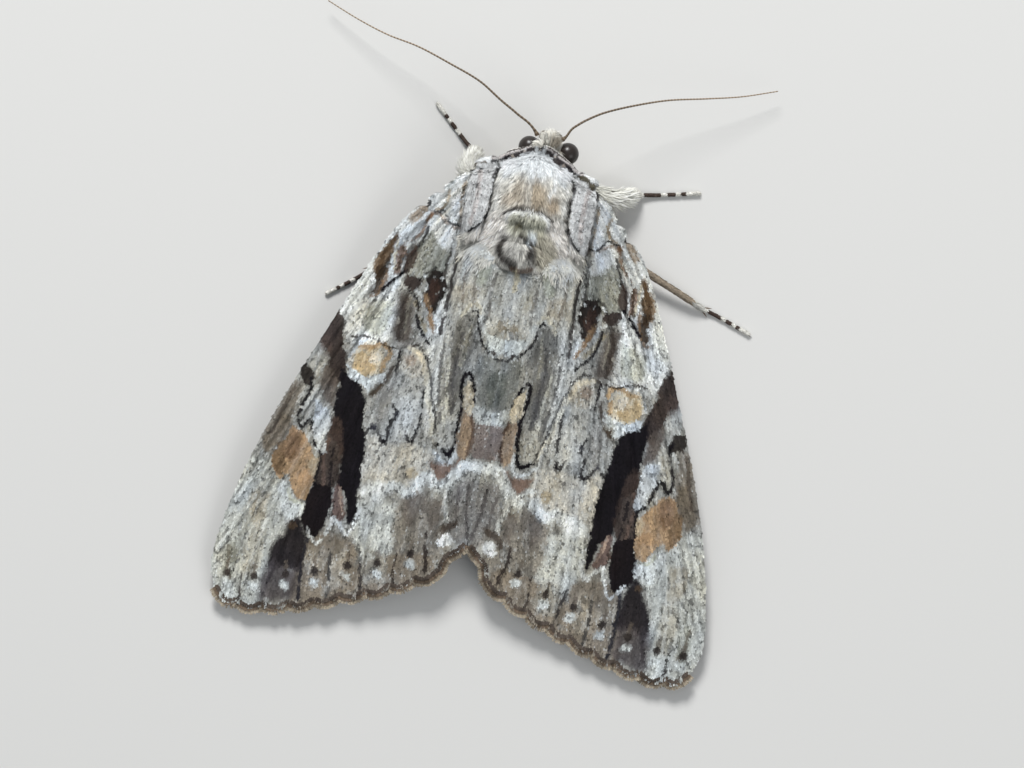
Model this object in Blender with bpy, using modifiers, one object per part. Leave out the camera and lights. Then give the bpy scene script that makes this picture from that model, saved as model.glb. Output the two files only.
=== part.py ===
"""An underwing moth at rest, at life size, as a still museum model.

The moth faces -Y and stands on the plane z = 0 on the flats of its six feet. +X is its
left side. Lengths below are in millimetres. "Along" is the distance back from the brow,
"out" is the distance from the middle line and "up" is the height above the floor.
"""
import math

import bmesh
import bpy
from mathutils import Vector

MM = 0.001

# Driving dimensions.
BROW_TO_MIDDLE = 18.3       # puts the origin at the middle of the whole moth's length
GAP = 0.25                  # between neighbours that meet
WING_THICKNESS = 0.5
MIDLINE_GAP = 0.3           # between the two forewings, along the back
LEFT, RIGHT = 1, -1

# The trunk, from the front of the collar to the waist: along, half width, underside, back.
TRUNK = (
    (1.0, 0.7, 3.4, 6.3),
    (1.6, 2.7, 2.1, 7.1),
    (3.0, 4.4, 1.2, 8.0),
    (5.0, 5.3, 0.9, 8.8),
    (8.0, 5.4, 0.9, 9.1),
    (10.5, 4.5, 1.0, 8.8),
    (12.1, 3.5, 1.3, 8.0),
)
COLLAR_END = 2.95
THORAX_START = COLLAR_END + GAP
THORAX_END = 12.1
TEGULA_INNER, TEGULA_FLOOR = 3.75, 5.0
TEGULA_FRONT, TEGULA_BACK = 3.4, 9.8

# The abdomen, the same way.
ABDOMEN = (
    (12.35, 3.2, 1.3, 6.8),
    (16.0, 3.45, 0.9, 6.3),
    (22.0, 3.3, 0.8, 5.3),
    (27.0, 2.7, 0.8, 4.3),
    (31.0, 1.9, 1.0, 3.3),
    (33.5, 1.1, 1.2, 2.5),
    (34.8, 0.3, 1.5, 1.9),
)
ABDOMEN_SEGMENTS = 8
SEGMENT_STEP = 0.14         # how far each ring of the abdomen overhangs the next

HEAD_ASIDE = -0.7           # the head is held a little to the right
HEAD_CENTRE, HEAD_SIZE = (HEAD_ASIDE, 0.6, 4.4), (1.7, 1.2, 2.1)
EYE_APART, EYE_AT, EYE_RADIUS = 1.78, (0.85, 4.3), 1.0

# The forewing seen from above: (out, along) along each edge. The two side edges share
# their ends with the base and with the outer margin.
COSTA = ((5.0, 3.6), (6.4, 4.5), (8.6, 6.6), (11.1, 9.7), (13.9, 15.6), (16.2, 21.2),
         (18.6, 27.2), (20.6, 33.2), (21.9, 39.2), (22.1, 42.4), (21.4, 44.6))
OUTER_MARGIN = ((21.4, 44.6), (19.8, 45.4), (17.4, 45.4), (14.0, 44.6), (10.0, 43.2),
                (6.4, 41.8), (3.6, 40.4), (2.1, 39.6))
INNER_MARGIN = ((MIDLINE_GAP / 2, 10.6), (MIDLINE_GAP / 2, 20.0), (MIDLINE_GAP / 2, 30.0),
                (MIDLINE_GAP / 2, 36.2), (0.7, 37.2), (1.7, 38.1), (2.1, 39.6))
SCALLOPS = 9
SCALLOP_DEPTH = 0.45
FOREWING_ROWS, CELLS_PER_SCALLOP = 16, 3

# The hindwing, folded away under the forewing.
HIND_COSTA = ((5.6, 10.6), (8.4, 15.0), (11.6, 21.0), (14.0, 28.0), (14.6, 33.0))
HIND_OUTER = ((14.6, 33.0), (13.0, 36.6), (9.4, 38.4), (5.6, 38.0), (3.4, 36.4))
HIND_INNER = ((4.0, 12.6), (4.0, 18.0), (4.0, 24.0), (3.6, 30.0), (3.4, 36.4))
HINDWING_ROWS, HINDWING_CELLS = 12, 10

# The roof that the forewings make: along, then height over the back, height of its foot,
# how far out it has come half way down, and how sharply it turns down there.
ROOF_RIDGE = ((4.0, 8.2), (10.0, 8.0), (14.0, 7.5), (20.0, 6.6), (28.0, 5.0), (36.0, 3.2),
              (40.0, 2.4), (46.0, 1.5))
ROOF_FOOT = ((4.0, 4.9), (7.0, 3.9), (10.0, 3.2), (16.0, 2.4), (30.0, 2.0), (38.0, 1.6),
             (46.0, 0.9))
ROOF_SPREAD = ((4.0, 6.1), (12.0, 6.2), (20.0, 6.8), (30.0, 8.2), (46.0, 9.0))
ROOF_SHARPNESS = ((4.0, 5.0), (12.0, 5.0), (20.0, 3.2), (30.0, 2.4), (46.0, 2.2))

# Legs: (out, along, up, radius) from inside the body to the claws. The two sides differ.
TARSUS = 0.27
ON_FLOOR = 0.2              # height of a foot's middle line: its underside is cut flat
LEGS = {
    "leg_front_left": (LEFT, (
        (1.3, 3.6, 2.4, 0.55), (2.6, 3.3, 1.3, 0.5), (3.9, 3.9, 1.9, 0.6),
        (4.9, 4.5, 2.4, 0.65), (5.7, 4.4, 2.4, 0.65), (6.0, 3.7, 2.1, 0.7),
        (5.8, 2.9, 1.6, 0.6), (5.8, 2.2, 0.95, 0.4), (6.7, 1.4, 0.4, TARSUS),
        (8.0, 0.2, ON_FLOOR, TARSUS), (9.75, -1.45, ON_FLOOR, TARSUS))),
    "leg_front_right": (RIGHT, (
        (1.3, 3.6, 2.4, 0.55), (2.6, 3.2, 1.3, 0.5), (4.2, 3.5, 1.9, 0.65),
        (5.6, 3.9, 2.4, 0.85), (7.0, 4.1, 2.0, 0.9), (8.2, 3.8, 1.3, 0.65),
        (9.1, 3.35, 0.6, 0.35), (11.1, 2.95, ON_FLOOR, TARSUS),
        (14.6, 2.15, ON_FLOOR, TARSUS))),
    "leg_middle_left": (LEFT, (
        (2.0, 7.2, 2.2, 0.55), (3.2, 7.3, 0.95, 0.5), (5.2, 8.0, 1.45, 0.6),
        (7.0, 8.8, 1.7, 0.5), (9.4, 11.0, 1.35, 0.45), (11.5, 12.9, 0.9, 0.4),
        (12.8, 14.0, 0.4, TARSUS), (14.2, 15.2, ON_FLOOR, TARSUS),
        (16.4, 16.9, ON_FLOOR, TARSUS))),
    "leg_middle_right": (RIGHT, (
        (2.0, 7.2, 2.2, 0.55), (3.2, 7.3, 0.95, 0.5), (5.4, 7.8, 1.45, 0.6),
        (7.6, 8.4, 1.7, 0.5), (11.6, 10.1, 1.3, 0.45), (15.5, 11.7, 0.8, 0.4),
        (16.7, 12.2, 0.4, TARSUS), (18.1, 12.6, ON_FLOOR, TARSUS),
        (21.2, 13.7, ON_FLOOR, TARSUS))),
    "leg_hind_left": (LEFT, (
        (1.7, 10.2, 2.2, 0.55), (2.7, 10.7, 0.95, 0.5), (4.4, 12.2, 1.4, 0.6),
        (6.0, 13.6, 1.6, 0.5), (6.9, 18.2, 1.3, 0.45), (7.6, 22.6, 0.85, 0.4),
        (7.9, 24.2, 0.4, TARSUS), (8.2, 25.8, ON_FLOOR, TARSUS),
        (9.0, 30.6, ON_FLOOR, TARSUS))),
    "leg_hind_right": (RIGHT, (
        (1.7, 10.2, 2.2, 0.55), (2.7, 10.7, 0.95, 0.5), (4.4, 12.0, 1.4, 0.6),
        (6.2, 13.2, 1.6, 0.5), (7.3, 17.7, 1.3, 0.45), (8.3, 22.1, 0.85, 0.4),
        (8.7, 23.7, 0.4, TARSUS), (9.1, 25.3, ON_FLOOR, TARSUS),
        (10.2, 29.9, ON_FLOOR, TARSUS))),
}
LEG_BEVEL_RESOLUTION = 1

# Feelers: (out, along, up) from inside the head to the tips.
ANTENNA_RADIUS = 0.27
ANTENNAE = {
    "antenna_left": (LEFT, ((1.0, 0.2, 5.0), (2.0, -1.2, 5.6), (4.3, -2.6, 5.5), (6.4, -3.9, 5.0),
                            (9.3, -5.0, 4.2), (12.3, -6.0, 3.3), (15.2, -6.6, 2.5),
                            (18.0, -7.5, 1.8), (21.0, -8.7, 1.2))),
    "antenna_right": (RIGHT, ((1.0, 0.2, 5.0), (2.1, -1.1, 5.6), (3.3, -2.1, 5.6), (4.9, -3.1, 5.2),
                              (7.3, -4.2, 4.6), (10.3, -5.3, 3.7), (13.6, -6.1, 2.8),
                              (16.7, -6.9, 2.0), (19.8, -8.0, 1.3))),
}
PALP = ((0.6, 0.4, 1.9, 0.4), (0.64, -0.4, 2.1, 0.42), (0.66, -0.85, 2.9, 0.42),
        (0.66, -0.95, 3.7, 0.36), (0.64, -0.85, 4.4, 0.27))
PALP_BEVEL_RESOLUTION = 2

# Colour, roughness.
MATERIALS = {
    "grey_scales": ((0.42, 0.39, 0.34), 0.9),
    "pale_fur": ((0.55, 0.51, 0.44), 0.95),
    "hindwing_scales": ((0.05, 0.045, 0.045), 0.9),
    "leg_scales": ((0.30, 0.26, 0.22), 0.85),
    "antenna_brown": ((0.22, 0.16, 0.10), 0.7),
    "eye_brown": ((0.05, 0.035, 0.03), 0.2),
}


def at(out, along, up, side=LEFT):
    """A place in the model, in metres."""
    return Vector((side * out, along - BROW_TO_MIDDLE, up)) * MM


def smooth(knots, where):
    """The value at `where` of a smooth line through (place, value) knots."""
    last = len(knots) - 1
    if where <= knots[0][0]:
        return knots[0][1]
    if where >= knots[last][0]:
        return knots[last][1]
    i = next(n for n in range(last) if where <= knots[n + 1][0])

    def slope(n):
        a, b = knots[max(n - 1, 0)], knots[min(n + 1, last)]
        return (b[1] - a[1]) / (b[0] - a[0])

    (x0, y0), (x1, y1) = knots[i], knots[i + 1]
    width = x1 - x0
    t = (where - x0) / width
    return ((2 * t ** 3 - 3 * t ** 2 + 1) * y0 + (t ** 3 - 2 * t ** 2 + t) * width * slope(i)
            + (3 * t ** 2 - 2 * t ** 3) * y1 + (t ** 3 - t ** 2) * width * slope(i + 1))


def on_curve(points, share):
    """The point at a share of the length of the smooth curve through some points."""
    points = [Vector(p) for p in points]
    reach = [0.0]
    for a, b in zip(points, points[1:]):
        reach.append(reach[-1] + (b - a).length)
    place = share * reach[-1]
    return Vector([smooth([(r, p[k]) for r, p in zip(reach, points)], place)
                   for k in range(len(points[0]))])


def body_section(table, along):
    """(half width, underside, back) of a body table at a place along the body."""
    return [smooth([(row[0], row[k]) for row in table], along) for k in (1, 2, 3)]


def roof(out, along):
    """Height of the forewings' upper surface."""
    ridge, foot = smooth(ROOF_RIDGE, along), smooth(ROOF_FOOT, along)
    turn = (out / smooth(ROOF_SPREAD, along)) ** smooth(ROOF_SHARPNESS, along)
    return foot + (ridge - foot) / (1 + turn)


def under_roof(out, along):
    """Height of a surface that clears the forewings' underside by the gap."""
    step = 0.1
    across = (roof(out + step, along) - roof(out - step, along)) / (2 * step)
    lengthwise = (roof(out, along + step) - roof(out, along - step)) / (2 * step)
    steepness = math.sqrt(1 + across ** 2 + lengthwise ** 2)
    return roof(out, along) - (WING_THICKNESS + GAP) * steepness


def material(name):
    found = bpy.data.materials.get(name)
    if found:
        return found
    made = bpy.data.materials.new(name)
    made.use_nodes = True
    shader = made.node_tree.nodes["Principled BSDF"]
    colour, roughness = MATERIALS[name]
    shader.inputs["Base Color"].default_value = (*colour, 1)
    shader.inputs["Roughness"].default_value = roughness
    return made


def add_object(name, mesh, finish, collection):
    obj = bpy.data.objects.new(name, mesh)
    collection.objects.link(obj)
    if finish:
        mesh.materials.append(material(finish))
    mesh.shade_smooth()
    return obj


def mesh_from(bm, name):
    mesh = bpy.data.meshes.new(name)
    bm.to_mesh(mesh)
    bm.free()
    return mesh


def loft(name, rings):
    """A closed mesh through rings of points, with both ends filled."""
    bm = bmesh.new()
    loops = [[bm.verts.new(point) for point in ring] for ring in rings]
    count = len(loops[0])
    for front, back in zip(loops, loops[1:]):
        for i in range(count):
            j = (i + 1) % count
            bm.faces.new((front[i], front[j], back[j], back[i]))
    bm.faces.new(loops[0])
    bm.faces.new(loops[-1])
    bmesh.ops.recalc_face_normals(bm, faces=bm.faces)
    return mesh_from(bm, name)


def body_ring(section, along, sides, grow=0.0):
    half_width, underside, back = section
    middle, rise = (underside + back) / 2, (back - underside) / 2
    ring = []
    for i in range(sides):
        angle = 2 * math.pi * i / sides
        ring.append(at((half_width + grow) * math.cos(angle), along,
                       middle + (rise + grow) * math.sin(angle)))
    return ring


def trunk_mesh(name, start, end, rings, grow=0.0, sides=20):
    """The part of the trunk from start to end, thicker all round by grow."""
    places = [start + (end - start) * i / (rings - 1) for i in range(rings)]
    return loft(name, [body_ring(body_section(TRUNK, place), place, sides, grow) for place in places])


def box_mesh(name, low, high):
    bm = bmesh.new()
    bmesh.ops.create_cube(bm, size=1)
    for vert in bm.verts:
        share = vert.co + Vector((0.5, 0.5, 0.5))
        vert.co = Vector([low[k] + share[k] * (high[k] - low[k]) for k in range(3)])
    return mesh_from(bm, name)


def ball_mesh(name, centre, size, side=LEFT, segments=16, rings=10, grow=0.0):
    bm = bmesh.new()
    bmesh.ops.create_uvsphere(bm, u_segments=segments, v_segments=rings, radius=1)
    middle = at(*centre, side)
    for vert in bm.verts:
        vert.co = middle + Vector([vert.co[k] * (size[k] + grow) * MM for k in range(3)])
    return mesh_from(bm, name)


def tube_mesh(name, places, radii, bevel_resolution):
    """A round tube through some places, cut flat where it would pass below the floor."""
    curve = bpy.data.curves.new(name + "_line", "CURVE")
    curve.dimensions = "3D"
    curve.bevel_depth = MM
    curve.bevel_resolution = bevel_resolution
    curve.use_fill_caps = True
    spline = curve.splines.new("POLY")
    spline.points.add(len(places) - 1)
    for point, place, radius in zip(spline.points, places, radii):
        point.co = (*place, 1)
        point.radius = radius
    guide = bpy.data.objects.new(name + "_line", curve)
    bpy.context.scene.collection.objects.link(guide)
    graph = bpy.context.evaluated_depsgraph_get()
    mesh = bpy.data.meshes.new_from_object(guide.evaluated_get(graph))
    bpy.data.objects.remove(guide)
    mesh.name = name
    bm = bmesh.new()
    bm.from_mesh(mesh)
    bmesh.ops.remove_doubles(bm, verts=bm.verts, dist=0.01 * MM)
    bmesh.ops.recalc_face_normals(bm, faces=bm.faces)
    for vert in bm.verts:
        vert.co.z = max(vert.co.z, 0.0)
    bm.to_mesh(mesh)
    bm.free()
    return mesh


def boolean(obj, cutter, operation="DIFFERENCE"):
    modifier = obj.modifiers.new(operation.lower() + "_" + cutter.name, "BOOLEAN")
    modifier.operation = operation
    modifier.solver = "EXACT"
    modifier.object = cutter
    return modifier


def cutter(name, mesh, cutters):
    obj = add_object(name, mesh, None, cutters)
    obj.hide_render = True
    obj.display_type = "WIRE"
    return obj


def wing_place(edges, u, v):
    """(out, along) at a share u from base to margin and v from the costa to the inner edge."""
    costa, inner, outer = edges
    first, last = Vector(costa[0]), Vector(inner[0])
    front, back = on_curve(costa, u), on_curve(inner, u)
    base, margin = first.lerp(last, v), on_curve(outer, v)
    corners = ((1 - u) * ((1 - v) * first + v * last)
               + u * ((1 - v) * Vector(costa[-1]) + v * Vector(inner[-1])))
    return (1 - v) * front + v * back + (1 - u) * base + u * margin - corners


def wing_mesh(name, edges, side, rows, cells, height, scallops=0):
    """An open wing surface, facing up, over the outline that the edges give."""
    bm = bmesh.new()
    bmesh.ops.create_grid(bm, x_segments=rows, y_segments=cells, size=0.5)
    for vert in bm.verts:
        u, v = vert.co.x + 0.5, vert.co.y + 0.5
        out, along = wing_place(edges, u, v)
        if scallops:
            bulge = abs(math.sin(math.pi * scallops * v)) - 0.6
            along += SCALLOP_DEPTH * bulge * u ** 12
        vert.co = at(out, along, height(out, along), side)
    bmesh.ops.recalc_face_normals(bm, faces=bm.faces)
    bm.normal_update()
    if sum(face.normal.z for face in bm.faces) < 0:
        bmesh.ops.reverse_faces(bm, faces=bm.faces)
    return mesh_from(bm, name)


def make_trunk(solids, cutters):
    """The collar, the thorax and its two shoulder flaps, parted by thin cuts."""
    add_object("collar", trunk_mesh("collar", TRUNK[0][0], COLLAR_END, 6), "pale_fur", solids)
    thorax_mesh = trunk_mesh("thorax", THORAX_START, THORAX_END, 12)
    thorax = add_object("thorax", thorax_mesh, "pale_fur", solids)
    reach = 9.0
    for side, word in ((LEFT, "left"), (RIGHT, "right")):
        low = at(TEGULA_INNER, TEGULA_FRONT, TEGULA_FLOOR, side)
        high = at(reach, TEGULA_BACK, 2 * reach, side)
        flap = cutter("tegula_box_" + word, box_mesh("tegula_box", low, high), cutters)
        low = at(TEGULA_INNER - GAP, 0, TEGULA_FLOOR - GAP, side)
        high = at(reach, TEGULA_BACK + GAP, 2 * reach, side)
        room = cutter("tegula_room_" + word, box_mesh("tegula_room", low, high), cutters)
        for box in (flap, room):
            if side == RIGHT:
                box.data.flip_normals()
        tegula = add_object("tegula_" + word, thorax_mesh.copy(), "pale_fur", solids)
        boolean(tegula, flap, "INTERSECT")
        boolean(thorax, room)


def make_abdomen(solids):
    """Rings that each overhang the next a little."""
    start, end = ABDOMEN[0][0], ABDOMEN[-1][0]
    length = (end - start) / ABDOMEN_SEGMENTS
    rings = []
    for segment in range(ABDOMEN_SEGMENTS):
        for share, step in ((0.0, -SEGMENT_STEP), (0.25, 0.0), (0.95, 0.0)):
            along = start + (segment + share) * length
            first = segment == 0 and share == 0.0
            rings.append(body_ring(body_section(ABDOMEN, along), along, 18, 0.0 if first else step))
    rings.append(body_ring(body_section(ABDOMEN, end), end, 18))
    add_object("abdomen", loft("abdomen", rings), "grey_scales", solids)


def make_head(solids, cutters):
    collar_room = cutter("collar_room", trunk_mesh("collar_room", TRUNK[0][0] - 0.2, 4.0, 8, GAP), cutters)
    head = add_object("head", ball_mesh("head", HEAD_CENTRE, HEAD_SIZE), "pale_fur", solids)
    boolean(head, collar_room)
    head_room = cutter("head_room", ball_mesh("head_room", HEAD_CENTRE, HEAD_SIZE, grow=GAP), cutters)
    for side, word in ((LEFT, "left"), (RIGHT, "right")):
        size = (EYE_RADIUS,) * 3
        centre = (EYE_APART + side * HEAD_ASIDE, *EYE_AT)
        eye = add_object("eye_" + word, ball_mesh("eye", centre, size, side), "eye_brown", solids)
        boolean(eye, collar_room)
        socket_mesh = ball_mesh("socket", centre, size, side, grow=GAP)
        socket = cutter("socket_" + word, socket_mesh, cutters)
        boolean(head, socket)
        places = [at(out + side * HEAD_ASIDE, along, up, side) for out, along, up, radius in PALP]
        palp_mesh = tube_mesh("palp", places, [point[3] for point in PALP], PALP_BEVEL_RESOLUTION)
        palp = add_object("palp_" + word, palp_mesh, "pale_fur", solids)
        boolean(palp, head_room)
    for name, (side, route) in ANTENNAE.items():
        shares = [i / (2 * len(route) - 2) for i in range(2 * len(route) - 1)]
        places = [at(*on_curve(route, share), side) for share in shares]
        mesh = tube_mesh(name, places, [ANTENNA_RADIUS] * len(places), 1)
        antenna = add_object(name, mesh, "antenna_brown", solids)
        boolean(antenna, head_room)


def make_wings(solids, trunk_room):
    for side, word in ((LEFT, "left"), (RIGHT, "right")):
        for name, edges, height, rows, cells, scallops, finish in (
                ("forewing_", (COSTA, INNER_MARGIN, OUTER_MARGIN), roof, FOREWING_ROWS,
                 SCALLOPS * CELLS_PER_SCALLOP, SCALLOPS, "grey_scales"),
                ("hindwing_", (HIND_COSTA, HIND_INNER, HIND_OUTER), under_roof, HINDWING_ROWS,
                 HINDWING_CELLS, 0, "hindwing_scales")):
            mesh = wing_mesh(name + word, edges, side, rows, cells, height, scallops)
            wing = add_object(name + word, mesh, finish, solids)
            thickness = wing.modifiers.new("thickness", "SOLIDIFY")
            thickness.thickness = WING_THICKNESS * MM
            thickness.offset = -1
            boolean(wing, trunk_room)


def make_legs(solids, trunk_room):
    for name, (side, route) in LEGS.items():
        places = [at(*point[:3], side) for point in route]
        mesh = tube_mesh(name, places, [point[3] for point in route], LEG_BEVEL_RESOLUTION)
        leg = add_object(name, mesh, "leg_scales", solids)
        boolean(leg, trunk_room)


def main():
    for obj in list(bpy.data.objects):
        bpy.data.objects.remove(obj)
    solids = bpy.data.collections.new("moth")
    cutters = bpy.data.collections.new("cutters")
    for collection in (solids, cutters):
        bpy.context.scene.collection.children.link(collection)
    trunk_room = cutter("trunk_room", trunk_mesh("trunk_room", TRUNK[0][0] - GAP,
                                                 THORAX_END + GAP, 16, GAP), cutters)
    make_trunk(solids, cutters)
    make_abdomen(solids)
    make_head(solids, cutters)
    make_wings(solids, trunk_room)
    make_legs(solids, trunk_room)


main()
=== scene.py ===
"""The looks of an underwing moth at rest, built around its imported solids.

Lengths are in millimetres in the moth's own frame, the one its solids use: "out" is to its
left of the middle line, "along" is back from the brow and "up" is above the floor. Colours
are sRGB, from 0 to 255.
"""
import itertools
import math

import bpy
import numpy as np
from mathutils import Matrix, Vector


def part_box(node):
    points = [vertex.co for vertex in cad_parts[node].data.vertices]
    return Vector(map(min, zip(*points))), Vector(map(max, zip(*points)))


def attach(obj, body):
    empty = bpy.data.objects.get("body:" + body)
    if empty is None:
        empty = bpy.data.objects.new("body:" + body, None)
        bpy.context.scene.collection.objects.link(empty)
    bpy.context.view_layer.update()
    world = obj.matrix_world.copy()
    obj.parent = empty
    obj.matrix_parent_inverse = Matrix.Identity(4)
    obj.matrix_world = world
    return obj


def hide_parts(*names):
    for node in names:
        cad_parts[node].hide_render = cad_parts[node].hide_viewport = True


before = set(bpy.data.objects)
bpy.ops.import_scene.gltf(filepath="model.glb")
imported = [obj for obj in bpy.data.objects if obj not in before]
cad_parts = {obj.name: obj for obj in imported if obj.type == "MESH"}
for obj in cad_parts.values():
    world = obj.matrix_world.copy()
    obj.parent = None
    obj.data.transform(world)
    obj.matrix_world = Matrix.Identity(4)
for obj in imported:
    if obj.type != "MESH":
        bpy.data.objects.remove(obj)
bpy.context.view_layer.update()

MM = 0.001
LEFT, RIGHT = 1, -1
SIDES = ((LEFT, "left"), (RIGHT, "right"))
HEAD_FRONT = -0.9           # where the head's solid starts, along
BROW_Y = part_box("head")[0].y - HEAD_FRONT * MM

# ---------------------------------------------------------------- the solids' own shape

# The trunk: along, half width, underside, back.
TRUNK = (
    (1.0, 0.7, 3.4, 6.3),
    (1.6, 2.7, 2.1, 7.1),
    (3.0, 4.4, 1.2, 8.0),
    (5.0, 5.3, 0.9, 8.8),
    (8.0, 5.4, 0.9, 9.1),
    (10.5, 4.5, 1.0, 8.8),
    (12.1, 3.5, 1.3, 8.0),
    (13.2, 2.6, 1.8, 7.3),
)
ABDOMEN = (
    (11.0, 2.8, 1.6, 6.9),
    (12.35, 3.2, 1.3, 6.8),
    (16.0, 3.45, 0.9, 6.3),
    (22.0, 3.3, 0.8, 5.3),
    (27.0, 2.7, 0.8, 4.3),
    (31.0, 1.9, 1.0, 3.3),
    (33.5, 1.1, 1.2, 2.5),
    (34.8, 0.3, 1.5, 1.9),
)
HEAD_MIDDLE = -0.7          # the head is held a little to the moth's right
EYE_APART, EYE_AT, EYE_RADIUS = 1.72, (0.98, 4.3), 1.0

COSTA = ((5.0, 3.6), (6.4, 4.5), (8.6, 6.6), (11.1, 9.7), (13.9, 15.6), (16.2, 21.2),
         (18.6, 27.2), (20.6, 33.2), (21.9, 39.2), (22.1, 42.4), (21.4, 44.6))
OUTER_MARGIN = ((21.4, 44.6), (19.8, 45.4), (17.4, 45.4), (14.0, 44.6), (10.0, 43.2),
                (6.4, 41.8), (3.6, 40.4), (2.1, 39.6))
INNER_MARGIN = ((0.01, 8.6), (0.01, 20.0), (0.01, 30.0), (0.03, 36.2), (0.7, 37.2),
                (1.7, 38.1), (2.1, 39.6))
SCALLOPS, SCALLOP_DEPTH = 9, 0.45
HIND_COSTA = ((5.6, 10.6), (8.4, 15.0), (11.6, 21.0), (14.0, 28.0), (14.6, 33.0))
HIND_OUTER = ((14.6, 33.0), (13.0, 36.6), (9.4, 38.4), (5.6, 38.0), (3.4, 36.4))
HIND_INNER = ((4.0, 12.6), (4.0, 18.0), (4.0, 24.0), (3.6, 30.0), (3.4, 36.4))

ROOF_RIDGE = ((4.0, 8.2), (10.0, 8.0), (14.0, 7.5), (20.0, 6.6), (28.0, 5.0), (36.0, 3.2),
              (40.0, 2.4), (46.0, 1.5))
ROOF_FOOT = ((4.0, 4.9), (7.0, 3.9), (10.0, 3.2), (16.0, 2.4), (30.0, 2.0), (38.0, 1.6),
             (46.0, 0.9))
ROOF_SPREAD = ((4.0, 6.1), (12.0, 6.2), (20.0, 6.8), (30.0, 8.2), (46.0, 9.0))
ROOF_SHARPNESS = ((4.0, 5.0), (12.0, 5.0), (20.0, 3.2), (30.0, 2.4), (46.0, 2.2))

# ---------------------------------------------------------------- numbers and shapes


def smooth(knots, where):
    """Values at some places of a smooth line through (place, value, ...) knots."""
    knots = np.asarray(knots, float)
    x, y = knots[:, 0], knots[:, 1:]
    slope = np.empty_like(y)
    slope[1:-1] = (y[2:] - y[:-2]) / (x[2:] - x[:-2])[:, None]
    slope[0], slope[-1] = (y[1] - y[0]) / (x[1] - x[0]), (y[-1] - y[-2]) / (x[-1] - x[-2])
    where = np.clip(np.asarray(where, float), x[0], x[-1])
    i = np.clip(np.searchsorted(x, where, side="right") - 1, 0, len(x) - 2)
    width = (x[i + 1] - x[i])[..., None]
    t = (where - x[i])[..., None] / width
    value = ((2 * t ** 3 - 3 * t ** 2 + 1) * y[i] + (t ** 3 - 2 * t ** 2 + t) * width * slope[i]
             + (3 * t ** 2 - 2 * t ** 3) * y[i + 1] + (t ** 3 - t ** 2) * width * slope[i + 1])
    return value[..., 0] if y.shape[1] == 1 else value


def on_curve(points, share):
    """Points at shares of the length of a smooth curve."""
    points = np.asarray(points, float)
    reach = np.concatenate([[0], np.cumsum(np.linalg.norm(np.diff(points, axis=0), axis=1))])
    return smooth(np.column_stack([reach, points]), np.asarray(share, float) * reach[-1])


def ramp(value, low, high):
    """0 below low, 1 above high, smooth between."""
    t = np.clip((value - low) / (high - low), 0, 1)
    return t * t * (3 - 2 * t)


def unit(vectors):
    """The vectors with a length of 1."""
    return vectors / np.maximum(np.linalg.norm(vectors, axis=-1, keepdims=True), 1e-9)


def curve(points, count):
    """A smooth curve through some points, as count points spread evenly along it."""
    return on_curve(points, np.linspace(0, 1, count))


def bell(distance, width):
    """1 at no distance, fading to nothing over about twice the width."""
    return np.exp(-(distance / width) ** 2)


def noise(places, size, seed, octaves=3):
    """Smooth noise from 0 to 1 whose largest lumps are size wide."""
    places = np.asarray(places, float)
    primes = np.array([374761393, 668265263, 1442695041][:places.shape[1]])
    total, weight, reach = 0.0, 1.0, 0.0
    for octave in range(octaves):
        at = places / np.asarray(size) * 2 ** octave + 37.7 * seed + 11.3 * octave
        cell = np.floor(at).astype(np.int64)
        t = at - cell
        t = t * t * (3 - 2 * t)
        layer = 0.0
        for corner in itertools.product((0, 1), repeat=places.shape[1]):
            mixed = ((cell + corner) * primes).sum(1) + seed * 7919
            mixed = (mixed ^ (mixed >> 13)) * 1274126177 & 0xFFFFFFFF
            value = ((mixed ^ (mixed >> 16)) & 0xFFFF) / 0xFFFF
            layer = layer + value * np.prod(np.where(corner, t, 1 - t), axis=1)
        total, reach, weight = total + weight * layer, reach + weight, weight / 2
    return total / reach


def line_distance(places, points):
    """Distance of each place to a line through some points."""
    best = np.full(len(places), np.inf)
    for a, b in zip(points, points[1:]):
        ab = b - a
        t = np.clip((places - a) @ ab / max(ab @ ab, 1e-12), 0, 1)
        best = np.minimum(best, np.linalg.norm(places - a - t[:, None] * ab, axis=1))
    return best


def curve_distance(places, points):
    """Distance of each place to a smooth curve through a few points."""
    return line_distance(places, curve(points, 3 * len(points)))


def is_inside(places, outline):
    """Whether each place lies inside a closed outline."""
    inside = np.zeros(len(places), bool)
    x, y = places[:, 0], places[:, 1]
    for (ax, ay), (bx, by) in zip(outline, np.roll(outline, -1, axis=0)):
        if ay != by:
            crosses = (ay > y) != (by > y)
            inside ^= crosses & (x < (bx - ax) * (y - ay) / (by - ay) + ax)
    return inside


def linear(colour):
    """sRGB from 0 to 255 as linear light."""
    c = np.asarray(colour, float) / 255
    return np.where(c <= 0.04045, c / 12.92, ((c + 0.055) / 1.055) ** 2.4)


def metres(places):
    """Places in the frame's own coordinates."""
    places = np.asarray(places, float)
    return places * MM + np.array([0, BROW_Y, 0])


def mirrored(places, side):
    """Places or directions given for the left side, moved to a side."""
    return places * np.array([side, 1, 1])


def folded(places):
    """Places seen from above, with the right side folded on to the left."""
    return np.column_stack([np.abs(places[:, 0]), places[:, 1]])


# ---------------------------------------------------------------- markings

BLACK, DARK, GREY, WHITE = (20, 17, 21), (46, 39, 38), (154, 154, 149), (214, 219, 220)
TAN, RUST, CREAM = (160, 142, 116), (118, 92, 70), (202, 193, 170)

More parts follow.
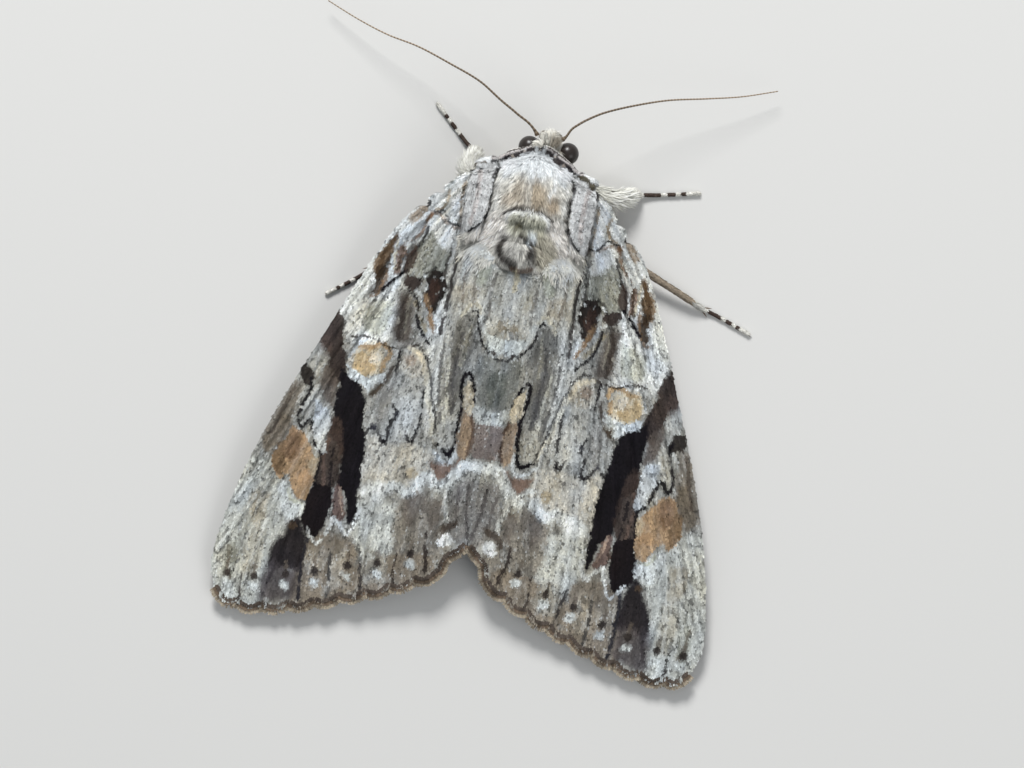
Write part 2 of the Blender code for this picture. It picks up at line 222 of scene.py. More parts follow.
# Marks of a forewing, later ones over earlier ones: kind, colour, strength, size, points as
# (out, along). A line's size is its width, a patch's is how soft its edge is and a spot's is
# its radius.
WING_MARKS = (
    # fields of the ground colour, from the base to the margin
    ("patch", (226, 229, 227), 0.95, 0.6, ((5.4, 4.0), (9.0, 6.8), (12.0, 11.0), (15.0, 17.8),
      (14.2, 20.4), (10.2, 20.2), (9.9, 15.0), (8.6, 11.0), (6.0, 10.6))),
    ("patch", (146, 147, 136), 0.9, 0.5, ((6.1, 10.4), (8.2, 9.8), (9.6, 12.0), (9.8, 13.9),
      (6.4, 13.8))),
    ("patch", (192, 193, 188), 0.9, 0.5, ((0, 10.0), (5.3, 10.0), (5.4, 16.4), (0, 17.0))),
    ("patch", (144, 142, 131), 0.7, 0.5, ((0.8, 12.0), (2.6, 12.2), (2.9, 14.4), (1.0, 15.4))),
    ("patch", (140, 144, 128), 0.7, 0.5, ((2.2, 11.4), (3.4, 12.4), (3.5, 13.8), (2.6, 13.6))),
    ("patch", (168, 160, 144), 0.6, 0.5, ((3.0, 14.2), (4.8, 13.8), (4.8, 15.4), (3.2, 15.6))),
    ("patch", (186, 190, 188), 0.8, 0.5, ((4.2, 10.4), (5.2, 10.4), (5.2, 13.6), (4.4, 13.6))),
    ("patch", (204, 206, 203), 0.9, 0.5, ((4.6, 16.6), (6.2, 15.8), (6.8, 18.6), (5.9, 24.0),
      (5.6, 28.0), (4.8, 27.0), (4.9, 21.0))),
    ("patch", (112, 111, 106), 0.85, 0.5, ((2.8, 16.6), (4.1, 16.6), (4.5, 19.5), (4.5, 23.0),
      (4.0, 25.6), (3.2, 24.6), (3.0, 21.3), (2.6, 19.2))),
    ("patch", (96, 96, 96), 0.7, 0.35, ((3.4, 20.4), (4.3, 20.4), (4.3, 24.6), (3.5, 25.0))),
    ("patch", (170, 170, 164), 0.7, 0.3, ((3.3, 25.6), (4.6, 24.4), (4.8, 27.2), (3.6, 28.4))),
    ("patch", (118, 121, 118), 0.9, 0.6, ((0, 20.0), (1.9, 19.8), (1.7, 23.0), (1.0, 24.6), (0, 24.4))),
    ("patch", (90, 94, 88), 0.7, 0.4, ((0, 21.0), (0.7, 21.2), (0.8, 23.0), (0.3, 24.2), (0, 24.0))),
    ("patch", (160, 162, 160), 0.8, 0.5, ((6.2, 22.8), (9.6, 23.0), (10.8, 25.0), (10.6, 28.4),
      (6.6, 28.6))),
    ("patch", (192, 194, 191), 0.8, 0.4, ((6.4, 24.0), (8.2, 24.6), (8.2, 27.6), (6.7, 28.0))),
    ("patch", (120, 120, 120), 0.6, 0.4, ((9.0, 23.6), (10.0, 24.6), (10.2, 27.4), (9.2, 27.6))),
    ("patch", (197, 194, 184), 0.95, 0.5, ((4.2, 29.2), (6.6, 28.7), (8.8, 29.0), (10.5, 28.6),
      (10.5, 32.6), (7.4, 32.6), (4.6, 31.4))),
    ("patch", (198, 202, 199), 0.85, 0.5, ((6.6, 34.2), (10.2, 34.4), (10.2, 37.8), (9.4, 39.0),
      (8.2, 40.0), (6.6, 38.2), (6.2, 36.4))),
    ("patch", (138, 133, 124), 0.9, 0.5, ((2.4, 33.2), (6.4, 33.2), (6.3, 38.4), (3.0, 39.2),
      (1.6, 37.6))),
    ("patch", (124, 122, 119), 0.9, 0.35, ((0, 31.0), (1.5, 31.0), (2.2, 32.2), (2.2, 35.4),
      (1.0, 36.6), (0, 36.6))),
    ("patch", (134, 124, 110), 0.9, 0.4, ((3.2, 38.0), (6.4, 38.6), (9.6, 40.0), (9.8, 38.2),
      (13.8, 38.2), (14.6, 44.6), (8.0, 43.4), (2.0, 40.4))),
    ("patch", (166, 160, 148), 0.8, 0.3, ((10.4, 38.8), (11.4, 38.8), (11.6, 42.6), (10.6, 42.4))),
    ("patch", (156, 150, 138), 0.7, 0.3, ((12.2, 39.6), (13.8, 39.4), (13.9, 41.4), (12.2, 41.0))),
    ("patch", (150, 148, 140), 0.7, 0.3, ((7.0, 38.6), (8.8, 38.8), (8.6, 41.6), (6.6, 41.0))),
    ("patch", (194, 197, 192), 0.9, 0.5, ((18.2, 32.4), (20.6, 32.2), (22.6, 38.0), (22.6, 45.0),
      (17.6, 45.4), (17.4, 42.0), (17.0, 39.6), (16.2, 37.4), (17.2, 34.2))),
    ("patch", (164, 156, 138), 0.7, 0.4, ((18.0, 35.2), (19.6, 35.4), (19.4, 38.0), (18.4, 38.4))),
    ("patch", (176, 172, 158), 0.7, 0.4, ((17.9, 38.6), (19.2, 38.4), (19.2, 43.0), (18.0, 42.6))),
    ("patch", (140, 142, 130), 0.6, 0.4, ((20.0, 39.4), (20.9, 40.4), (20.8, 43.4), (20.0, 43.2))),
    ("patch", (172, 172, 166), 0.85, 0.4, ((15.4, 21.6), (16.3, 22.0), (17.2, 25.0), (17.0, 28.0),
      (15.8, 28.0), (14.2, 26.8), (15.2, 24.4))),
    ("patch", (118, 112, 104), 0.85, 0.5, ((17.0, 24.8), (18.0, 25.4), (19.9, 30.6), (18.8, 31.6),
      (17.5, 29.4), (17.0, 27.2))),
    # base of the wing
    ("patch", (230, 234, 236), 0.97, 0.2, ((5.9, 4.3), (7.1, 5.1), (7.1, 6.4), (6.7, 7.6), (6.1, 8.4))),
    ("patch", (224, 226, 223), 0.97, 0.2, ((7.4, 6.2), (8.2, 6.2), (8.7, 7.2), (8.4, 7.9), (7.4, 7.7))),
    ("line", (158, 142, 120), 0.8, 0.22, ((6.0, 5.2), (6.0, 6.8), (5.9, 8.8))),
    ("line", (166, 148, 124), 0.85, 0.24, ((7.25, 6.1), (7.2, 7.0), (7.6, 7.8), (8.2, 8.0))),
    ("line", WHITE, 0.7, 0.25, ((6.6, 4.6), (7.0, 5.3), (7.1, 6.0))),
    ("line", RUST, 0.7, 0.32, ((8.5, 8.5), (7.8, 8.3), (7.1, 8.8), (6.4, 9.3), (5.8, 9.2))),
    ("line", BLACK, 0.9, 0.18, ((8.5, 8.2), (8.0, 8.2), (7.4, 8.0), (7.0, 8.5), (6.5, 9.0),
      (5.8, 9.0))),
    ("spot", (136, 104, 76), 0.9, 0.34, ((8.5, 8.6),)),
    ("patch", (222, 225, 225), 0.9, 0.3, ((6.1, 9.6), (7.2, 9.0), (8.0, 9.4), (7.4, 10.8),
      (6.3, 11.2))),
    ("patch", (146, 128, 106), 0.85, 0.25, ((9.0, 7.4), (9.8, 8.2), (10.4, 9.2), (9.6, 9.4),
      (8.8, 8.4))),
    ("spot", BLACK, 0.9, 0.34, ((8.95, 7.6),)),
    ("line", WHITE, 0.9, 0.3, ((8.8, 8.4), (9.5, 9.3), (10.2, 10.1), (10.8, 10.6))),
    ("line", RUST, 0.85, 0.28, ((8.6, 8.9), (8.9, 9.8), (9.5, 10.7), (10.2, 11.4))),
    ("line", BLACK, 0.9, 0.3, ((8.4, 9.4), (8.8, 10.6), (9.6, 12.2), (10.0, 13.6))),
    ("patch", (62, 50, 44), 0.9, 0.2, ((9.4, 11.0), (10.0, 12.4), (10.0, 13.9), (9.4, 13.6),
      (9.0, 12.0))),
    ("patch", (124, 100, 84), 0.9, 0.15, ((10.1, 11.4), (10.8, 11.6), (10.8, 13.8), (10.3, 14.1),
      (10.2, 12.8))),
    ("line", WHITE, 0.9, 0.22, ((9.6, 10.9), (10.2, 11.4), (10.8, 11.2))),
    ("line", CREAM, 0.9, 0.2, ((10.95, 11.2), (10.95, 12.6), (10.8, 14.0))),
    ("patch", (116, 94, 66), 0.92, 0.25, ((11.0, 10.5), (12.0, 11.8), (12.7, 13.2), (12.5, 14.4),
      (11.4, 13.0))),
    ("line", (78, 60, 42), 0.9, 0.5, ((11.1, 10.9), (11.6, 12.0), (12.0, 13.2), (12.1, 14.6))),
    ("line", (56, 43, 32), 0.85, 0.24, ((11.3, 12.4), (11.7, 13.6), (11.8, 14.6))),
    ("line", (56, 44, 34), 0.85, 0.3, ((10.3, 11.8), (10.5, 13.0), (10.6, 14.0))),
    ("patch", (64, 50, 36), 0.95, 0.16, ((11.4, 13.8), (12.2, 13.7), (12.3, 15.2), (12.5, 16.2),
      (11.9, 16.1), (11.4, 15.2))),
    ("line", (122, 98, 74), 0.85, 0.25, ((11.3, 13.4), (11.35, 14.8), (12.0, 16.3), (12.6, 16.4))),
    ("patch", (214, 216, 210), 0.9, 0.25, ((12.6, 12.6), (13.7, 14.8), (14.6, 17.2), (13.4, 17.4),
      (12.8, 15.4))),
    ("line", BLACK, 1.0, 0.3, ((9.8, 13.7), (10.4, 14.3), (10.9, 15.0), (11.5, 15.8))),
    ("line", WHITE, 0.9, 0.26, ((10.1, 15.0), (10.7, 15.6), (11.2, 16.4))),
    ("patch", (48, 38, 35), 0.95, 0.14, ((9.7, 13.9), (9.6, 14.9), (8.6, 15.2), (8.2, 14.3))),
    ("line", DARK, 0.8, 0.4, ((6.0, 9.9), (6.1, 11.4), (6.2, 12.8), (6.3, 13.8))),
    ("line", BLACK, 0.8, 0.3, ((7.2, 13.0), (7.9, 13.6), (8.4, 14.2))),
    ("patch", (34, 27, 25), 0.97, 0.15, ((7.9, 13.9), (7.0, 13.2), (6.1, 13.8), (5.9, 15.0),
      (6.1, 16.2), (6.6, 17.0), (7.3, 16.8), (7.7, 15.4))),
    ("patch", (66, 48, 40), 0.6, 0.2, ((7.4, 14.2), (6.8, 14.0), (6.5, 15.4), (6.9, 16.2),
      (7.4, 15.4))),
    ("spot", WHITE, 0.9, 0.2, ((8.05, 13.9),)),
    ("spot", WHITE, 0.9, 0.17, ((6.35, 13.9),)),
    ("spot", WHITE, 0.8, 0.2, ((7.75, 14.9),)),
    ("spot", WHITE, 0.8, 0.15, ((6.1, 14.7),)),
    ("line", (168, 170, 168), 0.8, 0.12, ((7.2, 13.9), (7.0, 14.2))),
    ("line", (156, 156, 152), 0.8, 0.1, ((6.6, 15.0), (6.75, 15.3))),
    ("line", (156, 156, 152), 0.8, 0.12, ((6.3, 15.9), (6.5, 16.2))),
    ("line", (156, 156, 152), 0.8, 0.1, ((7.2, 16.2), (7.0, 16.5))),
    ("line", (138, 112, 84), 0.95, 0.42, ((7.6, 15.6), (7.2, 16.6), (6.8, 17.6), (6.3, 18.5))),
    ("line", (226, 230, 230), 0.97, 0.55, ((5.9, 15.8), (6.2, 17.0), (6.0, 18.4))),
    ("line", WHITE, 0.7, 0.2, ((8.6, 15.2), (8.0, 15.6), (7.8, 16.4))),
    # the fold beside the raised inner part: its dark line is painted shadow in the fold, and the pale
    # line just inside it is a painted highlight on the raised part's edge
    ("line", (58, 54, 54), 0.95, 0.34, ((5.62, 4.0), (5.6, 7.0), (5.58, 10.0), (5.5, 13.0), (5.6, 16.0),
      (5.7, 18.6))),
    ("line", (206, 208, 204), 0.7, 0.3, ((5.95, 9.4), (5.95, 11.5), (5.95, 13.4))),
    # painted highlight along the lit edge of the raised inner part
    ("line", (194, 192, 184), 0.8, 0.35, ((5.15, 9.8), (5.1, 12.4), (5.2, 15.6))),
    ("line", (104, 100, 94), 0.7, 0.3, ((1.7, 12.6), (2.0, 14.4), (1.8, 16.4))),
    ("line", (96, 92, 88), 0.6, 0.25, ((3.4, 11.6), (3.6, 13.6), (3.3, 15.4))),
    ("line", (112, 104, 96), 0.6, 0.25, ((4.4, 12.0), (4.5, 14.0), (4.2, 16.2))),
    ("line", (208, 200, 176), 0.95, 0.36, ((0, 12.0), (0.05, 13.0), (0, 13.9))),
    ("line", (204, 200, 186), 0.8, 0.24, ((0.02, 16.4), (0, 18.0), (0.1, 19.0))),
    # antemedial line and the shade beyond it
    ("patch", (72, 65, 60), 0.92, 0.7, ((10.0, 15.6), (10.0, 17.5), (9.7, 19.8), (8.3, 20.0),
      (8.4, 17.6), (8.9, 15.8))),
    ("line", (54, 47, 42), 0.8, 0.4, ((9.2, 15.4), (9.4, 17.6), (9.3, 19.8))),
    ("line", (140, 136, 124), 0.6, 0.25, ((8.9, 16.0), (8.95, 17.4), (8.8, 19.0))),
    ("spot", (150, 146, 136), 0.6, 0.25, ((9.7, 18.2),)),
    ("line", (150, 140, 116), 0.7, 0.4, ((8.4, 16.3), (7.8, 17.4), (7.0, 18.6))),
    ("line", BLACK, 0.95, 0.3, ((9.0, 15.4), (8.3, 16.0), (8.1, 17.2), (7.8, 18.1), (7.3, 18.9),
      (6.5, 19.7))),
    ("patch", (170, 172, 156), 0.7, 0.5, ((10.3, 16.6), (12.4, 17.2), (12.6, 19.4), (10.6, 19.4))),
    ("line", (198, 194, 178), 0.9, 0.32, ((4.2, 16.8), (3.6, 15.9), (2.9, 15.6), (2.5, 16.2))),
    ("line", BLACK, 0.95, 0.22, ((3.3, 16.3), (2.8, 16.2), (2.6, 16.9), (2.5, 17.7), (2.2, 18.5),
      (1.7, 19.2), (1.3, 19.5))),
    ("line", (212, 217, 216), 0.9, 0.4, ((2.2, 16.6), (2.0, 17.7), (1.5, 18.7), (0.8, 19.1))),
    ("patch", (204, 212, 214), 0.9, 0.25, ((0, 18.2), (1.7, 18.0), (1.2, 19.6), (0.5, 19.8),
      (0, 19.4))),
    ("line", BLACK, 0.85, 0.22, ((1.4, 19.6), (0.9, 19.3), (0.6, 19.9), (0, 20.1))),
    ("spot", (136, 124, 100), 0.7, 0.5, ((0.5, 17.1),)),
    ("spot", (56, 50, 48), 0.85, 0.3, ((0.8, 19.5),)),
    # costal shade, running into the long black bar
    ("patch", (50, 41, 38), 0.97, 0.25, ((15.1, 17.9), (15.9, 19.6), (16.2, 21.0), (15.4, 21.9),
      (15.0, 23.2), (14.6, 25.0), (13.5, 24.2), (13.4, 22.6), (14.0, 21.0), (14.3, 19.3))),
    ("patch", (78, 66, 60), 0.7, 0.4, ((15.2, 20.2), (16.2, 21.0), (15.8, 22.2), (15.0, 22.2))),
    ("patch", (84, 76, 70), 0.9, 0.4, ((14.0, 24.4), (15.2, 23.0), (15.4, 25.0), (14.6, 26.6),
      (13.9, 26.8))),
    ("patch", BLACK, 1.0, 0.2, ((13.9, 22.9), (13.9, 25.0), (13.8, 27.2), (13.8, 29.2), (12.9, 30.0),
      (12.5, 31.5), (12.5, 33.6), (11.7, 34.0), (11.2, 35.2), (11.0, 36.6), (10.8, 37.2), (10.4, 36.0),
      (10.4, 34.0), (10.5, 32.0), (10.5, 30.3), (10.7, 28.8), (11.0, 27.6), (11.1, 26.4), (11.3, 25.4),
      (11.8, 24.5), (12.3, 24.1), (13.1, 23.6))),
    ("patch", (60, 50, 46), 0.95, 0.3, ((13.9, 27.4), (14.4, 31.2), (14.5, 33.9), (13.0, 34.2),
      (12.5, 33.4), (12.35, 31.2), (12.6, 29.2), (13.1, 27.6))),
    ("line", (100, 84, 76), 0.7, 0.3, ((13.7, 29.6), (13.9, 31.6), (13.6, 33.8))),
    ("line", BLACK, 0.8, 0.25, ((13.2, 30.4), (13.2, 32.0), (13.0, 34.0))),
    ("patch", (24, 19, 21), 1.0, 0.12, ((14.5, 33.6), (14.8, 35.4), (15.0, 37.0), (14.5, 38.0),
      (13.4, 38.3), (12.8, 37.2), (12.6, 35.5), (12.7, 34.0), (13.4, 33.7))),
    ("patch", (96, 77, 72), 0.9, 0.2, ((12.5, 33.4), (12.0, 33.6), (11.5, 35.0), (11.2, 36.4),
      (11.9, 36.9), (12.4, 36.0), (12.5, 34.6))),
    ("line", DARK, 0.8, 0.2, ((12.3, 34.6), (12.4, 36.0), (12.0, 37.2))),
    ("line", (170, 150, 136), 0.7, 0.18, ((12.0, 33.6), (11.9, 34.6), (11.4, 36.0))),
    ("patch", (108, 104, 98), 0.6, 0.7, ((10.2, 38.0), (12.2, 37.2), (13.2, 38.9), (12.6, 40.4),
      (10.4, 39.0))),
    ("line", WHITE, 0.95, 0.36, ((12.2, 36.4), (11.5, 37.0), (10.9, 37.7), (10.5, 37.2), (10.2, 36.2),
      (10.0, 35.2))),
    ("line", WHITE, 0.95, 0.26, ((14.3, 37.7), (13.9, 38.4), (13.2, 39.0), (12.7, 38.2), (12.3, 37.2),
      (12.2, 36.6))),
    # reniform spot
    ("spot", (200, 190, 168), 0.97, 1.75, ((11.7, 22.1),)),
    ("patch", (182, 160, 122), 0.9, 0.25, ((12.9, 21.6), (12.9, 22.8), (12.2, 23.3), (11.2, 23.2),
      (10.9, 22.5), (11.9, 22.2), (12.2, 21.4))),
    ("line", (166, 140, 104), 0.9, 0.42, ((12.4, 21.0), (11.6, 20.9), (10.9, 20.5), (10.1, 20.6),
      (9.8, 21.2), (10.2, 22.0), (10.3, 22.8))),
    ("spot", (208, 200, 184), 0.9, 0.62, ((11.2, 21.8),)),
    ("line", (172, 150, 116), 0.7, 0.3, ((11.9, 21.0), (11.7, 21.8), (11.9, 22.6))),
    ("patch", (204, 212, 216), 0.97, 0.12, ((13.4, 22.6), (13.0, 24.0), (12.1, 24.1), (11.1, 25.0),
      (10.7, 24.1), (9.9, 23.7), (9.7, 22.9), (10.6, 23.2), (11.8, 23.6), (12.8, 23.1))),
    ("line", WHITE, 0.8, 0.3, ((13.3, 22.0), (12.9, 20.9), (12.0, 20.3), (11.0, 20.2))),
    ("line", (60, 50, 40), 0.95, 0.5, ((10.7, 25.0), (10.3, 24.5), (10.1, 24.1))),
    ("line", (64, 57, 52), 0.9, 0.45, ((9.3, 22.2), (9.5, 22.9), (9.8, 23.6))),
    ("line", (40, 33, 30), 0.9, 0.22, ((13.4, 20.3), (12.4, 20.0), (11.4, 20.1), (10.2, 20.5),
      (9.2, 20.5), (8.4, 20.2), (7.5, 19.9))),
    # subreniform spot
    ("spot", (176, 172, 162), 0.85, 1.35, ((7.6, 21.6),)),
    ("spot", (142, 126, 112), 0.7, 0.6, ((7.9, 21.4),)),
    ("line", BLACK, 0.95, 0.24, ((8.85, 20.5), (8.95, 21.6), (8.9, 22.9))),
    ("line", (206, 198, 178), 0.9, 0.42, ((8.2, 20.3), (7.3, 20.6), (6.7, 21.6), (6.2, 22.8))),
    ("line", BLACK, 0.8, 0.18, ((7.4, 19.9), (6.9, 20.4), (6.4, 21.2))),
    ("line", (208, 206, 194), 0.95, 0.44, ((6.3, 22.4), (5.9, 24.0), (5.4, 25.8), (4.9, 27.2),
      (4.4, 28.4))),
    ("line", BLACK, 0.8, 0.2, ((6.5, 20.9), (6.1, 22.0), (5.6, 23.8), (5.1, 25.6))),
    ("line", (92, 92, 92), 0.8, 0.35, ((5.2, 19.6), (5.2, 21.6), (4.9, 24.0), (4.5, 26.4))),
    ("line", (190, 190, 180), 0.8, 0.26, ((4.5, 20.6), (4.3, 23.0), (4.1, 25.4), (4.0, 27.2))),
    ("line", (70, 70, 72), 0.8, 0.3, ((3.7, 18.2), (3.9, 20.4), (3.8, 23.0), (3.5, 25.4))),
    ("line", (150, 148, 136), 0.7, 0.3, ((3.1, 17.4), (3.3, 19.0), (3.4, 21.0))),
    # postmedial line, from the costa to the inner edge
    ("patch", (38, 33, 30), 0.97, 0.16, ((17.3, 23.2), (17.5, 24.3), (16.7, 25.3), (16.0, 25.1),
      (16.3, 23.8))),
    ("patch", (200, 206, 210), 0.95, 0.16, ((15.6, 26.4), (14.3, 27.0), (13.95, 28.8), (13.95, 31.0),
      (14.5, 31.1), (15.0, 29.7), (15.4, 28.3))),
    ("line", BLACK, 0.97, 0.3, ((16.3, 24.6), (16.2, 25.3), (16.35, 26.2), (16.65, 27.2), (16.9, 28.3),
      (16.5, 29.0), (16.1, 28.3), (15.8, 28.1), (15.5, 28.6), (15.2, 29.8), (14.8, 30.6),
      (14.2, 31.1))),
    ("line", BLACK, 0.9, 0.25, ((14.2, 31.1), (14.35, 32.4), (14.4, 34.0))),
    ("line", BLACK, 0.9, 0.25, ((10.7, 28.6), (10.2, 27.8), (9.7, 28.2), (9.2, 28.9), (8.8, 28.8),
      (8.7, 27.4), (8.2, 26.3), (8.7, 25.5))),
    ("spot", (56, 56, 64), 0.9, 0.36, ((10.1, 27.8),)),
    ("spot", BLACK, 0.9, 0.28, ((8.95, 29.0),)),
    ("spot", (50, 50, 56), 0.9, 0.32, ((8.3, 26.3),)),
    ("line", BLACK, 0.9, 0.22, ((6.25, 23.8), (6.15, 25.6), (6.25, 27.2), (6.5, 28.5))),
    ("line", BLACK, 0.9, 0.34, ((7.0, 28.0), (6.7, 28.5), (6.4, 28.3))),
    ("line", BLACK, 0.9, 0.22, ((5.1, 25.4), (4.8, 26.8), (4.5, 28.0), (4.2, 28.4))),
    ("line", BLACK, 1.0, 0.42, ((4.4, 28.4), (3.7, 28.8), (3.2, 29.0), (2.85, 28.2))),
    ("line", BLACK, 1.0, 0.34, ((2.9, 28.6), (2.8, 27.5), (2.72, 26.0), (2.75, 24.5), (2.95, 23.2),
      (3.0, 22.2), (2.7, 21.5), (2.3, 21.8), (2.0, 22.8), (1.7, 24.0))),
    ("patch", (196, 186, 164), 0.95, 0.1, ((2.7, 22.0), (2.75, 23.2), (2.55, 24.8), (1.8, 25.4),
      (1.7, 24.2), (2.1, 22.8))),
    ("line", WHITE, 0.9, 0.34, ((4.7, 28.9), (3.9, 29.6), (3.1, 29.7), (2.6, 29.0), (2.5, 27.8))),
    ("patch", (148, 128, 106), 0.9, 0.2, ((2.5, 25.0), (2.5, 28.6), (1.7, 29.2), (1.4, 27.6),
      (1.6, 25.4))),
    ("line", (70, 52, 42), 0.85, 0.4, ((1.6, 25.4), (1.35, 26.8), (1.45, 28.8))),
    ("patch", (124, 113, 108), 0.9, 0.3, ((0, 25.8), (1.1, 25.8), (1.1, 28.8), (0, 28.8))),
    ("patch", (190, 195, 194), 0.85, 0.25, ((0, 24.7), (1.4, 24.4), (1.1, 25.7), (0, 25.6))),
    # the pale bands beyond
    ("patch", (116, 88, 72), 0.8, 0.3, ((2.0, 29.2), (2.6, 29.8), (3.8, 29.9), (4.7, 29.8), (4.3, 30.8),
      (3.6, 31.4), (3.0, 31.0), (2.4, 30.2))),
    ("spot", (166, 150, 118), 0.7, 0.6, ((6.0, 31.2),)),
    ("line", (224, 229, 229), 0.97, 0.95, ((0, 29.7), (1.2, 29.7), (2.1, 30.4), (2.9, 31.8),
      (3.7, 32.0), (4.7, 31.2), (5.3, 32.3), (6.2, 33.0), (7.3, 32.6), (8.5, 33.2), (9.7, 33.7))),
    ("spot", (226, 231, 232), 0.9, 1.15, ((8.9, 33.4),)),
    ("line", (206, 208, 204), 0.9, 0.4, ((2.9, 32.1), (2.6, 33.3), (2.3, 35.0))),
    ("patch", (92, 84, 78), 0.7, 0.7, ((4.9, 32.6), (6.2, 33.6), (6.0, 35.6), (5.2, 36.0))),
    ("patch", (96, 90, 84), 0.65, 0.35, ((4.2, 32.5), (5.0, 32.8), (4.8, 34.6), (4.1, 34.2))),
    ("patch", (90, 82, 76), 0.6, 0.3, ((2.9, 33.0), (3.9, 33.4), (3.6, 35.8), (2.9, 35.6))),
    ("line", (66, 62, 62), 0.75, 0.3, ((0.8, 31.4), (0.7, 33.2), (0.2, 36.0))),
    ("line", (78, 74, 74), 0.7, 0.3, ((1.7, 31.8), (1.5, 33.6), (1.4, 35.0))),
    ("line", (70, 62, 56), 0.9, 0.6, ((1.5, 35.0), (2.3, 35.4), (2.8, 36.2))),
    ("spot", (230, 234, 236), 1.0, 0.62, ((1.9, 36.4),)),
    ("spot", (230, 234, 236), 1.0, 0.4, ((2.35, 36.9),)),
    # subapical patch, and what lies round it
    ("patch", (108, 99, 86), 0.85, 0.6, ((18.3, 27.8), (19.6, 30.4), (19.4, 31.6), (18.6, 31.9),
      (17.9, 30.4), (17.3, 29.2), (17.6, 28.2))),
    ("line", (72, 64, 58), 0.7, 0.35, ((17.6, 25.6), (18.4, 28.0), (19.0, 30.0))),
    ("patch", (164, 139, 110), 0.97, 0.14, ((17.2, 29.1), (16.6, 29.2), (16.0, 29.6), (15.4, 30.6),
      (14.8, 31.3), (14.5, 32.2), (14.6, 34.2), (15.1, 35.2), (15.8, 35.1), (16.3, 34.1), (17.0, 33.4),
      (17.6, 33.9), (18.2, 33.0), (18.4, 31.8), (17.9, 30.6))),
    ("patch", (104, 86, 66), 0.85, 0.2, ((17.4, 29.8), (18.3, 31.0), (18.3, 32.6), (17.6, 33.6),
      (17.2, 32.6), (17.5, 31.2))),
    ("spot", (174, 144, 112), 0.7, 0.7, ((15.4, 33.4),)),
    ("patch", (190, 176, 152), 0.8, 0.15, ((14.4, 31.4), (15.0, 31.6), (14.9, 33.0), (14.5, 33.2))),
    ("patch", (112, 90, 72), 0.8, 0.6, ((17.1, 29.2), (16.3, 29.7), (16.1, 31.3), (16.7, 32.0),
      (17.6, 31.6))),
    ("line", (108, 84, 60), 0.7, 0.25, ((16.6, 31.2), (16.9, 32.2))),
    ("patch", (212, 217, 216), 1.0, 0.3, ((16.7, 34.0), (17.5, 34.3), (17.0, 35.8), (16.4, 37.2),
      (15.6, 37.0), (15.1, 36.6), (14.9, 35.6), (15.7, 35.3))),
    ("line", (170, 172, 150), 0.7, 0.35, ((16.5, 34.6), (16.1, 35.4), (15.2, 35.5))),
    # dark shade from the apex's side to the margin
    ("patch", (34, 30, 33), 0.98, 0.35, ((15.3, 36.9), (15.9, 37.4), (16.2, 38.5), (16.8, 39.2),
      (17.1, 40.3), (17.2, 41.4), (16.9, 42.0), (15.6, 41.6), (14.3, 41.6), (14.2, 40.0), (14.3, 38.6),
      (14.7, 37.6))),
    ("patch", (78, 73, 74), 0.9, 0.8, ((14.3, 41.3), (15.6, 41.5), (17.1, 41.4), (17.6, 44.8),
      (15.8, 44.6), (14.4, 44.0))),
    ("line", (56, 52, 54), 0.85, 0.4, ((16.6, 41.0), (16.8, 42.6), (17.3, 44.2))),
    ("spot", (80, 66, 52), 0.7, 0.4, ((15.6, 37.7),)),
    # dark veins near the margin
    ("line", (104, 100, 90), 0.8, 0.35, ((20.8, 40.6), (20.5, 42.2), (20.3, 43.4))),
    ("line", DARK, 0.9, 0.2, ((19.3, 42.8), (19.2, 45.0))),
    ("line", (38, 38, 44), 0.95, 0.36, ((14.1, 38.6), (14.15, 41.0), (14.0, 44.2))),
    ("line", (66, 66, 66), 0.9, 0.28, ((11.8, 39.6), (11.7, 41.4), (11.6, 43.4))),
    ("line", (44, 42, 44), 0.9, 0.3, ((9.3, 39.0), (9.0, 40.8), (8.6, 42.6))),
    ("line", DARK, 0.85, 0.2, ((6.1, 38.4), (6.1, 40.0), (6.0, 41.6))),
    ("line", DARK, 0.9, 0.32, ((3.8, 36.2), (3.6, 37.8), (3.2, 39.6))),
)
# The row of dark dots near the margin, each with a pale one beyond it.
MARGIN_DOTS = ((20.6, 43.0), (18.2, 42.9), (15.5, 42.2), (13.0, 41.5), (10.2, 40.5), (7.6, 39.8),
               (4.85, 38.4))

VEINS = (
    ((7.4, 7.0), (10.4, 10.6), (13.2, 16.4), (15.6, 21.5), (17.5, 25.9), (19.2, 29.7)),
    ((6.6, 7.5), (9.0, 11.0), (11.6, 16.5), (14.8, 22.0), (17.4, 27.5), (20.0, 32.7)),
    ((11.6, 16.5), (13.2, 20.6), (16.2, 26.6), (18.9, 32.0), (20.9, 36.4)),
    ((13.2, 20.6), (15.5, 26.6), (17.8, 32.4), (20.2, 37.6), (21.8, 41.0)),
    ((17.8, 32.4), (19.6, 38.4), (20.9, 45.0)),
    ((13.1, 22.3), (15.3, 29.0), (17.8, 37.0), (19.2, 45.2)),
    ((12.3, 23.6), (13.9, 30.0), (15.9, 38.0), (16.8, 45.4)),
    ((11.1, 24.0), (12.3, 30.5), (13.7, 38.0), (14.2, 44.8)),
    ((5.9, 8.0), (6.6, 13.0), (8.2, 18.4), (9.8, 23.2), (10.7, 30.0), (11.5, 37.0), (11.7, 44.0)),
    ((8.2, 18.4), (8.7, 24.0), (8.8, 30.0), (9.1, 37.0), (9.0, 43.0)),
    ((5.5, 9.0), (5.8, 14.0), (5.6, 20.0), (5.1, 26.0), (4.9, 32.0), (5.6, 38.0), (6.1, 41.8)),
    ((2.0, 14.0), (2.9, 20.0), (2.6, 27.0), (2.7, 33.0), (3.5, 37.5), (3.2, 40.0)),
)
VEIN_HEIGHT, VEIN_WIDTH = 0.13, 0.18
SHELF_OUT, SHELF_HEIGHT = 5.35, 0.42       # the raised inner part of the wings, behind the thorax
